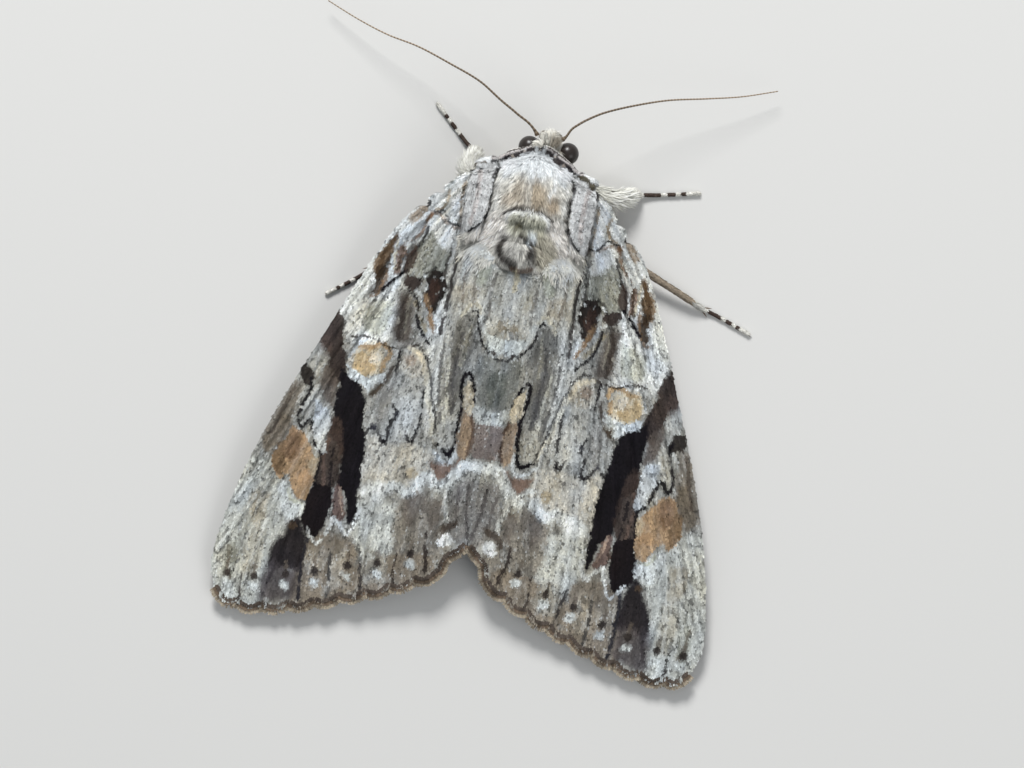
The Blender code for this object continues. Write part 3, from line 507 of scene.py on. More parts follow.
# Folds near a forewing's base: height (negative for a groove), width, line.
FOLDS = (
    (-0.4, 0.2, ((7.15, 5.4), (7.2, 6.8), (7.1, 8.3))),
    (-0.32, 0.2, ((8.6, 6.9), (8.45, 8.2), (8.9, 9.6), (9.6, 11.2), (10.0, 13.0), (10.1, 14.6))),
    (-0.35, 0.22, ((5.75, 4.2), (5.75, 6.5), (5.7, 9.0), (5.65, 12.0), (5.7, 14.5))),
    (-0.2, 0.25, ((6.9, 9.4), (7.4, 11.4), (7.8, 13.2))),
    (0.16, 0.3, ((9.3, 8.0), (10.2, 10.2), (11.2, 12.6), (12.4, 15.6), (13.6, 18.6))),
    (0.14, 0.35, ((6.4, 9.6), (6.6, 12.0), (7.0, 15.0), (7.8, 18.6))),
    (-0.16, 0.3, ((11.0, 12.0), (12.0, 15.4), (12.9, 18.8))),
)
COSTA_TURN = 43             # where the costa turns in to the tip, along
FAN_WIDTH = 16              # width of the wing with its fan made parallel
# Notches in the front edge, where the shoulder's lobes end: along, depth, width.
NOTCHES = ((6.0, 0.55, 0.28), (7.35, 0.55, 0.3))

COLLAR_POINTS = 16          # how many points its edge is drawn through
COLLAR_EDGE = ((0, 0.85), (1.0, 1.1), (2.2, 1.65), (3.2, 2.25), (4.2, 2.8), (5.2, 3.15))

# Marks of the head and trunk seen from above, alike on both sides.
BODY_MARKS = (
    ("patch", (206, 210, 212), 0.95, 0.5, ((-2.8, 2.0), (0, 0.9), (2.8, 2.0), (3.3, 3.2), (2.6, 4.2),
      (1.2, 3.4), (0, 4.2), (-1.2, 3.4), (-2.8, 3.2))),
    ("patch", (178, 172, 160), 0.85, 0.9, ((0, 4.4), (1.0, 4.3), (2.0, 4.9), (2.4, 5.8), (2.3, 6.6),
      (1.5, 6.8), (0, 6.3))),
    ("patch", (172, 160, 144), 0.6, 0.5, ((1.5, 5.2), (2.4, 5.4), (2.5, 6.3), (1.5, 6.3))),
    ("line", (206, 206, 202), 0.8, 0.5, ((2.9, 3.6), (3.05, 5.0), (3.0, 6.6), (3.3, 7.8))),
    ("line", (226, 228, 230), 0.97, 1.15, ((2.2, 2.75), (3.4, 3.0), (4.2, 3.2))),
    ("line", (206, 208, 208), 0.97, 1.5, ((4.0, 2.8), (5.0, 3.0), (6.0, 3.4))),
    # the pale sides behind the crest: their own pale beige, with painted light added where their slope
    # turns from the light
    ("patch", (236, 231, 224), 0.95, 0.6, ((1.9, 7.2), (3.3, 7.6), (4.4, 8.8), (4.8, 10.4), (3.0, 10.6),
      (2.2, 9.8))),
    ("patch", (186, 187, 187), 0.95, 0.2, ((3.5, 3.3), (5.3, 3.5), (5.8, 5.0), (5.8, 9.8), (5.1, 9.6),
      (4.3, 9.2), (3.8, 7.6), (3.6, 5.5))),
    ("line", (172, 162, 158), 0.6, 0.4, ((4.7, 4.2), (4.7, 6.4), (4.9, 8.6))),
    ("line", BLACK, 0.95, 0.26, ((3.3, 3.4), (3.65, 4.2), (3.5, 5.0), (3.55, 6.0), (3.5, 7.1),
      (3.75, 7.9), (4.2, 8.7), (4.9, 9.3))),
    # painted shadow along the shoulder flap's outer edge, over the wing's base
    ("line", (76, 68, 62), 0.95, 0.2, ((5.4, 3.4), (5.8, 4.2), (5.75, 6.0), (5.75, 8.0), (5.7, 10.0))),
    ("patch", (162, 162, 146), 0.9, 0.3, ((0, 6.9), (1.3, 7.2), (1.7, 8.2), (1.3, 8.8), (0, 8.7))),
    ("line", BLACK, 0.97, 0.34, ((0, 6.46), (0.9, 6.56), (1.6, 6.86), (2.15, 7.3))),
    ("line", (230, 232, 230), 0.95, 0.28, ((0, 6.78), (0.9, 6.9), (1.5, 7.2), (1.9, 7.7))),
    ("line", (186, 180, 178), 0.95, 0.24, ((0, 0.96), (1.0, 1.18), (2.1, 1.68), (3.1, 2.28),
      (4.0, 2.7))),
    ("line", (50, 42, 40), 0.95, 0.16, ((0, 0.78), (1.0, 1.0), (2.2, 1.5), (3.2, 2.1), (4.0, 2.5))),
    ("line", (36, 29, 30), 0.97, 0.36, ((0.1, 1.12), (1.0, 1.38), (2.0, 1.88), (2.9, 2.42))),
    ("line", BLACK, 0.9, 0.2, ((2.6, 2.26), (3.3, 2.62), (4.0, 2.96))),
    ("spot", (170, 160, 150), 0.7, 0.13, ((1.35, 1.52),)),
    ("spot", (170, 160, 150), 0.7, 0.12, ((2.3, 2.1),)),
    ("line", (130, 122, 114), 0.6, 0.14, ((0, 3.4), (0.02, 4.6), (0, 6.2))),
)
# Marks of the head, shoulders and thorax that differ from side to side, out being negative on
# the moth's right.
TUFT_MARKS = (
    ("patch", (152, 138, 117), 0.8, 0.6, ((-0.05, 3.6), (-0.6, 4.2), (-1.1, 5.1), (-1.2, 6.2),
      (-0.2, 6.3), (0.15, 5.0))),
    ("patch", (150, 135, 114), 0.75, 0.4, ((-1.5, 5.1), (-2.3, 5.3), (-2.4, 6.3), (-1.6, 6.4))),
    ("patch", (158, 147, 130), 0.65, 0.5, ((0.9, 4.2), (1.5, 4.4), (1.5, 6.0), (0.7, 6.3))),
    ("line", (226, 228, 228), 0.85, 0.3, ((-1.5, 2.8), (-1.75, 4.0), (-1.5, 5.2))),
    ("line", (120, 112, 104), 0.55, 0.12, ((0.55, 3.9), (0.62, 5.0), (0.5, 6.0))),
    ("patch", (44, 36, 34), 0.95, 0.2, ((-0.9, 1.4), (-1.9, 1.9), (-2.1, 2.5), (-1.5, 2.2))),
    # painted shade: the front edge of the wing's base below the right shoulder, lying in shadow
    ("patch", (70, 64, 48), 0.95, 0.14, ((-3.8, 2.9), (-4.6, 2.95), (-5.3, 3.5), (-5.5, 4.0),
      (-4.8, 3.6))),
    ("line", (96, 88, 74), 0.85, 0.16, ((4.6, 3.1), (5.2, 3.4), (5.5, 3.9))),
    ("spot", (30, 26, 26), 0.95, 0.3, ((-3.45, 4.1),)),
    ("spot", (46, 40, 34), 0.95, 0.32, ((-3.25, 5.2),)),
    ("spot", (30, 26, 26), 0.95, 0.28, ((-3.3, 6.0),)),
    ("spot", (60, 54, 44), 0.9, 0.3, ((-3.2, 6.8),)),
    ("spot", (30, 26, 26), 0.95, 0.26, ((-3.6, 7.7),)),
    ("spot", (200, 204, 204), 0.9, 0.16, ((-3.5, 4.65),)),
    ("spot", (196, 196, 190), 0.9, 0.14, ((-3.45, 7.2),)),
    ("spot", (206, 208, 208), 0.9, 0.15, ((3.6, 4.5),)),
    ("spot", (206, 208, 208), 0.9, 0.16, ((3.55, 5.6),)),
    ("spot", (206, 208, 208), 0.9, 0.15, ((3.6, 6.9),)),
    ("spot", (206, 208, 208), 0.9, 0.14, ((3.95, 8.1),)),
    ("spot", (88, 84, 64), 0.9, 0.42, ((0.65, 8.1),)),
    ("patch", (196, 204, 208), 0.9, 0.3, ((-0.2, 8.4), (-1.1, 8.6), (-0.9, 9.7), (-0.1, 9.5))),
    ("patch", (192, 190, 186), 0.8, 0.3, ((1.6, 8.6), (2.4, 8.9), (2.2, 9.8), (1.3, 9.6))),
    ("patch", (156, 150, 130), 0.75, 0.5, ((-1.0, 8.4), (-2.2, 8.6), (-3.2, 10.4), (-1.8, 11.6),
      (-1.0, 10.6))),
    ("patch", (164, 163, 158), 0.97, 0.3, ((1.5, 9.8), (0.5, 9.6), (-0.2, 10.1), (0.0, 10.8),
      (0.7, 11.1), (1.3, 10.8))),
    ("line", (42, 37, 34), 0.97, 0.7, ((1.7, 9.5), (1.85, 10.2), (1.6, 10.9), (1.0, 11.3),
      (0.5, 11.4))),
    ("line", (42, 38, 35), 0.97, 0.6, ((0.3, 8.9), (-0.3, 9.2), (-0.6, 9.8), (-0.6, 10.6))),
    ("line", (66, 60, 52), 0.8, 0.25, ((-0.5, 9.2), (-1.0, 10.0), (-1.1, 10.9))),
    ("line", (60, 52, 44), 0.8, 0.2, ((-1.5, 9.6), (-1.7, 10.4), (-1.4, 11.2))),
    ("line", (96, 72, 54), 0.9, 0.55, ((0.6, 11.9), (-0.3, 11.9), (-1.0, 11.6))),
    ("spot", (90, 86, 84), 0.7, 0.45, ((3.1, 10.7),)),
    ("line", (206, 196, 166), 0.95, 0.5, ((0.2, 12.1), (0.25, 12.9), (0.1, 13.6))),
)


def mask_of(kind, places, points, size, ragged):
    """How much of a mark covers each place, from 0 to 1. ragged shifts a patch's edge."""
    points = np.asarray(points, float)
    if kind == "spot":
        return 1 - ramp(np.linalg.norm(places - points[0], axis=1), size * 0.6, size * 1.15)
    if kind == "line":
        away = line_distance(places, curve(points, 4 * len(points)))
        return 1 - ramp(away, size * 0.25, size * 0.75)
    loop = np.vstack([points, points[:1]])
    outline = curve(loop, 3 * len(loop))[:-1]
    away = line_distance(places, np.vstack([outline, outline[:1]]))
    away = np.where(is_inside(places, outline), -away, away) + ragged
    return 1 - ramp(away, -0.6 * size, 0.6 * size)


def blend(colours, share, tint):
    """The colours drawn towards a tint, each by its own share."""
    return colours + share[:, None] * (tint - colours)


def painted(colours, places, marks, wander, seed):
    """The colours with the marks laid over them. wander is how far edges stray."""
    stray = np.column_stack([noise(places, 1.1, seed + k) - 0.5 for k in (1, 2)])
    fine = np.column_stack([noise(places, 0.3, seed + k, 2) - 0.5 for k in (3, 4)])
    places = places + wander * (1.6 * stray + 0.7 * fine)
    broken = noise(places, 0.5, seed + 5, 2)
    for kind, colour, strength, size, points in marks:
        reach = np.asarray(points, float)
        near = ((places > reach.min(0) - 2 * size - 0.3)
                & (places < reach.max(0) + 2 * size + 0.3)).all(1)
        if near.any():
            patchy = broken[near]
            cover = mask_of(kind, places[near], points, size, 0.36 * (patchy - 0.5)) * strength
            if kind == "line":
                cover = cover * ramp(patchy + 0.25, 0.38, 0.62)
            colours[near] = blend(colours[near], cover, linear(colour))
    return colours


def dot_marks():
    """Marks along the margin: each dark dot has a short tail before it and a pale patch beyond."""
    marks = []
    for out, along in MARGIN_DOTS:
        marks.append(("line", (96, 88, 80), 0.7, 0.35, ((out + 0.1, along - 1.2), (out, along))))
        marks.append(("spot", (50, 45, 43), 0.95, 0.42, ((out, along - 0.1),)))
        marks.append(("patch", (206, 212, 212), 0.85, 0.25, (
            (out - 0.4, along + 0.5), (out + 0.3, along + 0.5), (out + 0.2, along + 1.1),
            (out - 0.5, along + 1.2))))
    return marks


def wing_colours(places, side):
    """Colour of the forewing's upper side, places being (out, along)."""
    seed = 40 if side == LEFT else 70
    colours = np.tile(linear(GREY), (len(places), 1))
    colours = painted(colours, places, WING_MARKS, 0.2, seed)
    colours = painted(colours, places, dot_marks(), 0.12, seed)
    fan = unrolled_wing(places)
    blotch, streak = noise(fan, (1.0, 3.0), seed + 6), noise(fan, (0.2, 1.6), seed + 9, 2)
    mottle = noise(fan, (0.5, 0.9), seed + 12, 3)
    colours *= (1 + 0.3 * (blotch - 0.5) + 0.66 * (streak - 0.5) + 0.5 * (mottle - 0.5))[:, None]
    colours *= warmth(noise(fan, (1.4, 3.0), seed + 10, 3))
    tan = ramp((colours[:, 0] - colours[:, 2]) / colours.sum(1), 0.1, 0.2)
    strength = ramp(colours.mean(1), 0.1, 0.3) * (1 - 0.6 * tan)
    colours = with_veins(colours, places, strength, blotch, streak)
    colours = with_flecks(colours, places, strength, mottle, seed)
    return np.clip(colours, 0.002, 1)


def with_veins(colours, places, strength, blotch, streak):
    """The colours with the veins over them, each a faint pale line between dim edges."""
    for vein in VEINS:
        near = curve_distance(places, vein)
        pale = strength * (1 - ramp(near, 0.08, 0.24)) * ramp(streak, 0.35, 0.6)
        dim = strength * bell(near - 0.34, 0.12) * ramp(blotch, 0.4, 0.6)
        colours = blend(colours, 0.26 * pale, linear(WHITE))
        colours = colours * (1 - 0.5 * dim)[:, None]
    return colours


def with_flecks(colours, places, strength, mottle, seed):
    """The colours with dark flecks, dim streaks and pale glints, fewer near the wing's base."""
    fan = unrolled_wing(places)
    calm = 1 - 0.6 * (1 - ramp(places[:, 0], 4.6, 5.6)) * (1 - ramp(places[:, 1], 15.0, 17.5))
    calm *= 0.45 + 0.55 * ramp(places[:, 1], 9.0, 12.0)
    fleck = ramp(noise(fan + 0.5 * mottle[:, None], (0.17, 0.42), seed + 7, 2), 0.685, 0.75)
    colours = colours * (1 - 0.6 * strength * calm * fleck)[:, None]
    dim = ramp(noise(fan, (0.3, 0.9), seed + 11, 2), 0.62, 0.72)
    colours = colours * (1 - 0.3 * strength * calm * dim)[:, None]
    shine = ramp(noise(fan, (0.22, 0.6), seed + 8, 2), 0.58, 0.7)
    return blend(colours, 0.18 * strength * shine, linear(WHITE))


def costa_reach(along):
    """How far out the costa is."""
    return smooth([(at, out) for out, at in COSTA if at < COSTA_TURN], along)


def fan_share(places):
    """Where places lie across the wing, 0 at the inner edge and 1 at the costa."""
    return places[:, 0] / costa_reach(places[:, 1])


def unrolled_wing(places):
    """The places with the wing's fan made parallel, so that noise on them runs with the veins."""
    return np.column_stack([FAN_WIDTH * fan_share(places), places[:, 1]])


def warmth(value):
    """A slight drift of the tint between warm and cool."""
    return 1 + (value - 0.46)[:, None] * np.array([0.22, 0.06, -0.24])


def body_colours(places):
    """Colour of the head, trunk and abdomen, at places in space."""
    top, along, height = places[:, :2], places[:, 1], places[:, 2]
    above = np.tile(linear((198, 196, 189)), (len(places), 1))
    above = painted(above, folded(places), BODY_MARKS, 0.12, 11)
    above = painted(above, top, TUFT_MARKS, 0.12, 12)
    level = np.zeros(len(places))
    streaks = noise(np.column_stack([folded(places), level]), (0.16, 1.1, 1.0), 15, 2)
    above *= (1 + (streaks - 0.5) * ramp(along, 3.0, 4.0))[:, None]
    flecks = ramp(noise(np.column_stack([top, level]), (0.17, 0.34, 1.0), 16), 0.68, 0.76)
    above *= (1 - 0.62 * flecks * ramp(along, 1.6, 2.6))[:, None]
    above = blend(above, 1 - ramp(along, 0.55, 0.8), linear((214, 210, 198)))
    colours = np.tile(linear((166, 160, 149)), (len(places), 1))
    colours = blend(colours, ramp(height, 3.6, 5.0), above)
    rings = 0.5 + 0.5 * np.cos(2 * np.pi * along / 2.8)
    belly = linear((150, 140, 126)) * (0.85 + 0.25 * rings)[:, None]
    colours = blend(colours, ramp(along, 12.5, 13.5), belly)
    colours *= (0.78 + 0.44 * noise(places, 0.9, 13))[:, None]
    return np.clip(colours, 0.004, 1)


# ---------------------------------------------------------------- meshes and materials


def add_piece(name, points, faces, colours=None, spots=None, flat=False):
    """A mesh piece on the root body. faces is a list of index arrays, one row per face."""
    mesh = bpy.data.meshes.new(name)
    mesh.vertices.add(len(points))
    mesh.vertices.foreach_set("co", metres(points).astype(np.float32).ravel())
    faces = [np.asarray(block) for block in faces if len(block)]
    corners = np.concatenate([block.ravel() for block in faces])
    sizes = np.concatenate([np.full(len(block), block.shape[1]) for block in faces])
    mesh.loops.add(len(corners))
    mesh.loops.foreach_set("vertex_index", corners.astype(np.int32))
    mesh.polygons.add(len(sizes))
    starts = np.concatenate([[0], np.cumsum(sizes)[:-1]])
    mesh.polygons.foreach_set("loop_start", starts.astype(np.int32))
    mesh.update(calc_edges=True)
    mesh.validate()
    if colours is not None:
        layer = mesh.color_attributes.new(name="markings", type="FLOAT_COLOR", domain="POINT")
        rgba = np.column_stack([colours, np.ones(len(colours))])
        layer.data.foreach_set("color", rgba.astype(np.float32).ravel())
    if spots is not None:
        layer = mesh.uv_layers.new(name="OFBake")
        layer.data.foreach_set("uv", spots[corners].astype(np.float32).ravel())
    if flat:
        mesh.shade_flat()
    else:
        mesh.shade_smooth()
    piece = bpy.data.objects.new(name, mesh)
    bpy.context.scene.collection.objects.link(piece)
    return piece


def dress(piece, finish, slot, *nodes):
    """Gives a piece its material and its body, and hides the solids that it replaces."""
    piece.data.materials.append(finish)
    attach(piece, "root")
    if nodes:
        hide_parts(*nodes)


def grid_faces(rows, columns, closed=False):
    """Quads over a grid of points stored row by row. closed joins each row's ends."""
    last = columns if closed else columns - 1
    row, column = np.meshgrid(np.arange(rows - 1), np.arange(last), indexing="ij")
    here = (row * columns + column).ravel()
    beside = (row * columns + (column + 1) % columns).ravel()
    return np.column_stack([here, beside, beside + columns, here + columns])


def sweep(path, radii, sides, flatten=1.0, rise=(0, 0, 1)):
    """Rings of points round a path, and the closed tube's faces. rise is the rings' up."""
    path = np.asarray(path, float)
    radii = np.broadcast_to(radii, len(path))
    ahead = unit(np.gradient(path, axis=0))
    left = unit(np.cross(np.asarray(rise, float), ahead))
    upward = np.cross(ahead, left)
    angle = np.linspace(0, 2 * np.pi, sides, endpoint=False)[:, None]
    ring = left[:, None] * np.cos(angle) + upward[:, None] * np.sin(angle) * flatten
    points = path[:, None] + ring * radii[:, None, None]
    rows = len(path)
    start = np.arange(sides)[None, ::-1]
    end = start[:, ::-1] + (rows - 1) * sides
    return points.reshape(-1, 3), [grid_faces(rows, sides, True), start, end]


def join(shapes):
    """One list of points and faces from several (points, faces)."""
    points, faces, offset = [], [], 0
    for shape, blocks in shapes:
        points.append(shape)
        faces += [np.asarray(block) + offset for block in blocks]
        offset += len(shape)
    return np.vstack(points), faces


def ellipsoid(centre, size, rings=16, sides=24):
    """A closed ellipsoid, its size being half its width, depth and height."""
    turn = np.linspace(0.04, np.pi - 0.04, rings)
    path = np.zeros((rings, 3))
    path[:, 2] = -np.cos(turn)
    points, faces = sweep(path, np.sin(turn), sides, rise=(0, 1, 0))
    return points * np.asarray(size) + np.asarray(centre), faces


def new_node(tree, kind, **settings):
    """A shader node with some of its inputs set, an underline standing for a space."""
    node = tree.nodes.new("ShaderNode" + kind)
    for setting, value in settings.items():
        node.inputs[setting.replace("_", " ")].default_value = value
    return node


def marked_colour(tree, speck, grain):
    """The output that gives a mesh's own markings, made lighter and darker by the grain."""
    spread = new_node(tree, "MapRange", From_Min=0.3, From_Max=0.7, To_Min=1 - grain,
                      To_Max=1 + grain)
    tree.links.new(speck.outputs["Fac"], spread.inputs["Value"])
    colour = new_node(tree, "VertexColor")
    colour.layer_name = "markings"
    scaled = new_node(tree, "VectorMath")
    scaled.operation = "SCALE"
    tree.links.new(colour.outputs[0], scaled.inputs[0])
    tree.links.new(spread.outputs["Result"], scaled.inputs["Scale"])
    return scaled.outputs["Vector"]


def tinted_colour(tree, speck, tints):
    """The output that gives a colour between two tints, as the grain runs."""
    between = new_node(tree, "ValToRGB")
    for stop, tint, place in zip(between.color_ramp.elements, tints, (0.3, 0.7)):
        stop.color = (*linear(tint), 1)
        stop.position = place
    tree.links.new(speck.outputs["Fac"], between.inputs["Fac"])
    return between.outputs["Color"]


def material(name, roughness, grain_size, bump, grain=0.25, tints=None, sheen=0.0, gloss=0.1):
    """A surface whose colour is its markings, or runs between two tints, broken by fine grain."""
    made = bpy.data.materials.new(name)
    made.use_nodes = True
    tree = made.node_tree
    shader = tree.nodes["Principled BSDF"]
    shader.inputs["Roughness"].default_value = roughness
    shader.inputs["Specular IOR Level"].default_value = gloss
    shader.inputs["Sheen Weight"].default_value = sheen
    where = new_node(tree, "TexCoord")
    speck = new_node(tree, "TexNoise", Scale=1 / (grain_size * MM), Detail=3)
    tree.links.new(where.outputs["Object"], speck.inputs["Vector"])
    if tints is None:
        colour = marked_colour(tree, speck, grain)
    else:
        colour = tinted_colour(tree, speck, tints)
    tree.links.new(colour, shader.inputs["Base Color"])
    relief = new_node(tree, "Bump", Strength=bump, Distance=grain_size * MM * 0.5)
    tree.links.new(speck.outputs["Fac"], relief.inputs["Height"])
    tree.links.new(relief.outputs["Normal"], shader.inputs["Normal"])
    return made


def plain_paper():
    """The floor's pale, matt surface."""
    made = bpy.data.materials.new("floor_paper")
    made.use_nodes = True
    shader = made.node_tree.nodes["Principled BSDF"]
    shader.inputs["Base Color"].default_value = (*linear((214, 213, 210)), 1)
    shader.inputs["Roughness"].default_value = 0.9
    return made


# ---------------------------------------------------------------- scales and hairs

# The shapes of one scale, a blunt vane, and of one hair, a flat blade: corners as (share of the
# length, share of the width, height at the usual width), quads and triangles. Both are closed.
SHAPES = {
    "scale": (
        np.array([(0, 0, 0), (0.45, -0.42, 0.012), (0.97, -0.36, 0.0), (1.0, 0.30, 0.0),
                  (0.5, 0.44, 0.012), (0.6, 0, -0.022)]),
        np.array([(1, 2, 3, 4)]),
        np.array([(1, 0, 5), (2, 1, 5), (3, 2, 5), (4, 3, 5), (0, 4, 5), (0, 1, 4)]),
    ),
    "hair": (
        np.array([(0, -0.5, 0), (0, 0.5, 0), (0, 0, 0.03), (0.5, -0.45, 0.0), (0.5, 0.45, 0.0),
                  (0.5, 0, 0.025), (1, 0, 0)]),
        np.array([(0, 3, 5, 2), (2, 5, 4, 1), (1, 4, 3, 0)]),
        np.array([(0, 2, 1), (3, 6, 5), (5, 6, 4), (4, 6, 3)]),
    ),
}
USUAL_WIDTH = 0.18
MOST_IN_PIECE = {"scale": 22000, "hair": 18000}
UV_PATCH = 0.003            # how much of the UV map one scale or hair takes


def standing(corners, roots, ahead, up, length, width, lift, bend):
    """Places of the corners of a scale or hair on each root, as (roots, corners, axes)."""
    up = unit(up)
    ahead = unit(ahead - up * (ahead * up).sum(1, keepdims=True))
    lift = np.broadcast_to(lift, len(roots))[:, None]
    rise = unit(up * np.cos(lift) - ahead * np.sin(lift))
    ahead = ahead * np.cos(lift) + up * np.sin(lift)
    left = np.cross(rise, ahead)
    share, across, height = corners.T
    length, width = np.broadcast_to(length, len(roots)), np.broadcast_to(width, len(roots))
    drop = np.broadcast_to(bend, len(roots))[:, None] * share ** 2 * length[:, None]
    return (roots[:, None] + ahead[:, None] * (share * length[:, None])[..., None]
            + left[:, None] * (across * width[:, None])[..., None]
            + rise[:, None] * (height * (width / USUAL_WIDTH)[:, None] - drop)[..., None])


def coat(name, shape, roots, ahead, up, length, width, colours, spots, finish, slot, lift,
         bend=0.0):
    """Scales or hairs on the roots, in pieces small enough to export.

    colours are those at the roots and at the tips. spots say where each root lies on the part's
    surface unrolled, for the UV map. lift is the angle that they stand up by, and bend is how
    far their tips droop, as a share of their length.
    """
    corners, quads, triangles = SHAPES[shape]
    share, across = corners[:, 0], corners[:, 1]
    points = standing(corners, roots, ahead, up, length, width, lift, bend)
    tone = share[None, :, None]
    colours = colours[0][:, None] * (1 - tone) + colours[1][:, None] * tone
    order = np.argsort(roots[:, 1], kind="stable")
    pieces = max(1, math.ceil(len(roots) / MOST_IN_PIECE[shape]))
    for number, chosen in enumerate(np.array_split(order, pieces)):
        own = spots[chosen]
        own = (own - own.min(0)) / np.maximum(np.ptp(own, axis=0), 1e-6)
        own = own * (1 - 2 * UV_PATCH) + UV_PATCH
        patch = np.column_stack([across, share - 0.5]) * UV_PATCH
        uv = (own[:, None] + patch[None]).reshape(-1, 2)
        offset = (np.arange(len(chosen)) * len(corners))[:, None, None]
        faces = [(block[None] + offset).reshape(-1, block.shape[1]) for block in (quads, triangles)]
        label = name if pieces == 1 else f"{name}_{number + 1}"
        piece = add_piece(label, points[chosen].reshape(-1, 3), faces,
                          colours[chosen].reshape(-1, 3), uv, flat=True)
        dress(piece, finish, slot)


def dice(random, count, low, high):
    """Random numbers spread evenly from low to high."""
    return low + (high - low) * random.random(count)


def uneven(random, count, spread):
    """Random factors of brightness, most of them near 1."""
    return np.exp(random.normal(0, spread, count))[:, None]


def strayed(ahead, up, spread, random):
    """The directions turned about the normals, each by its own small random angle."""
    angle = random.normal(0, spread, len(ahead))[:, None]
    return ahead * np.cos(angle) + np.cross(up, ahead) * np.sin(angle)


def root_to_tip(colours, root, tip):
    """The colours at the roots and at the tips, as factors of the colours given."""
    return np.clip(colours * root, 0, 1), np.clip(colours * tip, 0, 1)


def mixed_scales(colours, random, dark, light, spread=0.15):
    """Each scale is one plain colour: most near the local one, a few much darker or paler."""
    count = len(colours)
    own = colours * uneven(random, count, spread)
    draw = random.random(count)
    pale = (colours.mean(1) > 0.18) & (colours[:, 2] > 0.62 * colours[:, 0])
    own[draw < dark] *= dice(random, count, 0.34, 0.7)[draw < dark, None]
    chosen = (draw > 1 - light) & pale
    own[chosen] += 0.4 * (linear(WHITE) - own[chosen])
    return np.clip(own, 0.003, 1)


# ---------------------------------------------------------------- wings

COAT_DEPTH = 0.09           # how deep the forewings' skin lies inside their solids
MEMBRANE, HIND_MEMBRANE = 0.16, 0.12
FOREWING_GRID, HINDWING_GRID = (244, 120), (70, 34)
FOREWING_SEED, HINDWING_SEED, BODY_SEED, PALP_SEED, LEG_SEED = 100, 200, 300, 400, 500
SCALE_STEP = 0.127          # from one scale of a forewing to the next
SCATTER = 0.33              # how far scales stray from an even pattern, in half steps
SCALE_BOXES = (((0, 8), (22.6, 46)), ((5.0, 3.4), (10.4, 8)))
BASE_HAIRS, FRINGE_SCALES, HIND_FRINGE_SCALES = 5600, 4200, 1500
SHOWN = 0.7                 # the share of a scale's length where it shows past its neighbours


def roof(out, along):
    """Height of the forewings' solids."""
    ridge, foot = smooth(ROOF_RIDGE, along), smooth(ROOF_FOOT, along)
    turn = (np.maximum(out, 0) / smooth(ROOF_SPREAD, along)) ** smooth(ROOF_SHARPNESS, along)
    return foot + (ridge - foot) / (1 + turn)


def vein_relief(places):
    """How far the veins and folds stand up or sink."""
    height = np.zeros(len(places))
    for vein in VEINS:
        height = np.maximum(height, VEIN_HEIGHT * bell(curve_distance(places, vein), VEIN_WIDTH))
    for rise, width, fold in FOLDS:
        height += rise * bell(curve_distance(places, fold), width)
    return height


def wing_sink(places):
    """How far the base of a forewing dips to lie under the thorax and the shoulder flap."""
    out, along = places.T
    flap = (1 - ramp(out, 5.15, 5.6)) * (1 - ramp(along, 9.2, 11.4))
    tuft = (1 - ramp(out, 1.5, 2.4)) * (1 - ramp(along, 11.2, 12.4))
    return 1.3 * np.maximum(flap, 0.8 * tuft)


def wing_height(places, side):
    """Height of the forewing's skin at (out, along)."""
    out, along = places.T
    shelf = (1 - ramp(out, SHELF_OUT - 0.25, SHELF_OUT + 0.2)) * ramp(along, 7.5, 10)
    shelf = shelf * (1 - ramp(along, 14.5, 20.5))
    fan, other = unrolled_wing(places), side == RIGHT
    folds = 0.24 * (noise(fan, (1.2, 8.0), 3 + other, 2) - 0.5)
    creases = 0.12 * (noise(fan, (0.45, 3.5), 5 + other, 2) - 0.5)
    return (roof(out, along) - COAT_DEPTH + vein_relief(places) + SHELF_HEIGHT * shelf
            + (folds + creases) * ramp(out, 0.3, 2.0) - wing_sink(places))


def wing_place(edges, u, v):
    """(out, along) at shares u from base to margin and v from the costa to the inner edge."""
    costa, inner, outer = edges
    u, v = u[:, None], v[:, None]
    first, last = np.array(costa[0]), np.array(inner[0])
    start, margin = first + v * (last - first), on_curve(outer, v[:, 0])
    corners = ((1 - u) * ((1 - v) * first + v * last)
               + u * ((1 - v) * np.array(costa[-1]) + v * np.array(inner[-1])))
    return ((1 - v) * on_curve(costa, u[:, 0]) + v * on_curve(inner, u[:, 0])
            + (1 - u) * start + u * margin - corners)


def scallop(u, v):
    """How far back the margin's scallops draw a place."""
    bulge = np.abs(np.sin(np.pi * SCALLOPS * v)) - 0.6
    return SCALLOP_DEPTH * bulge * u ** 12


def notched(places, v):
    """The places near the front edge, drawn in at the notches."""
    near = (1 - v) ** 10
    for along, depth, width in NOTCHES:
        dip = depth * bell(places[:, 1] - along, width) * near
        places = places + np.column_stack([-dip * 0.8, dip * 0.6])
    return places


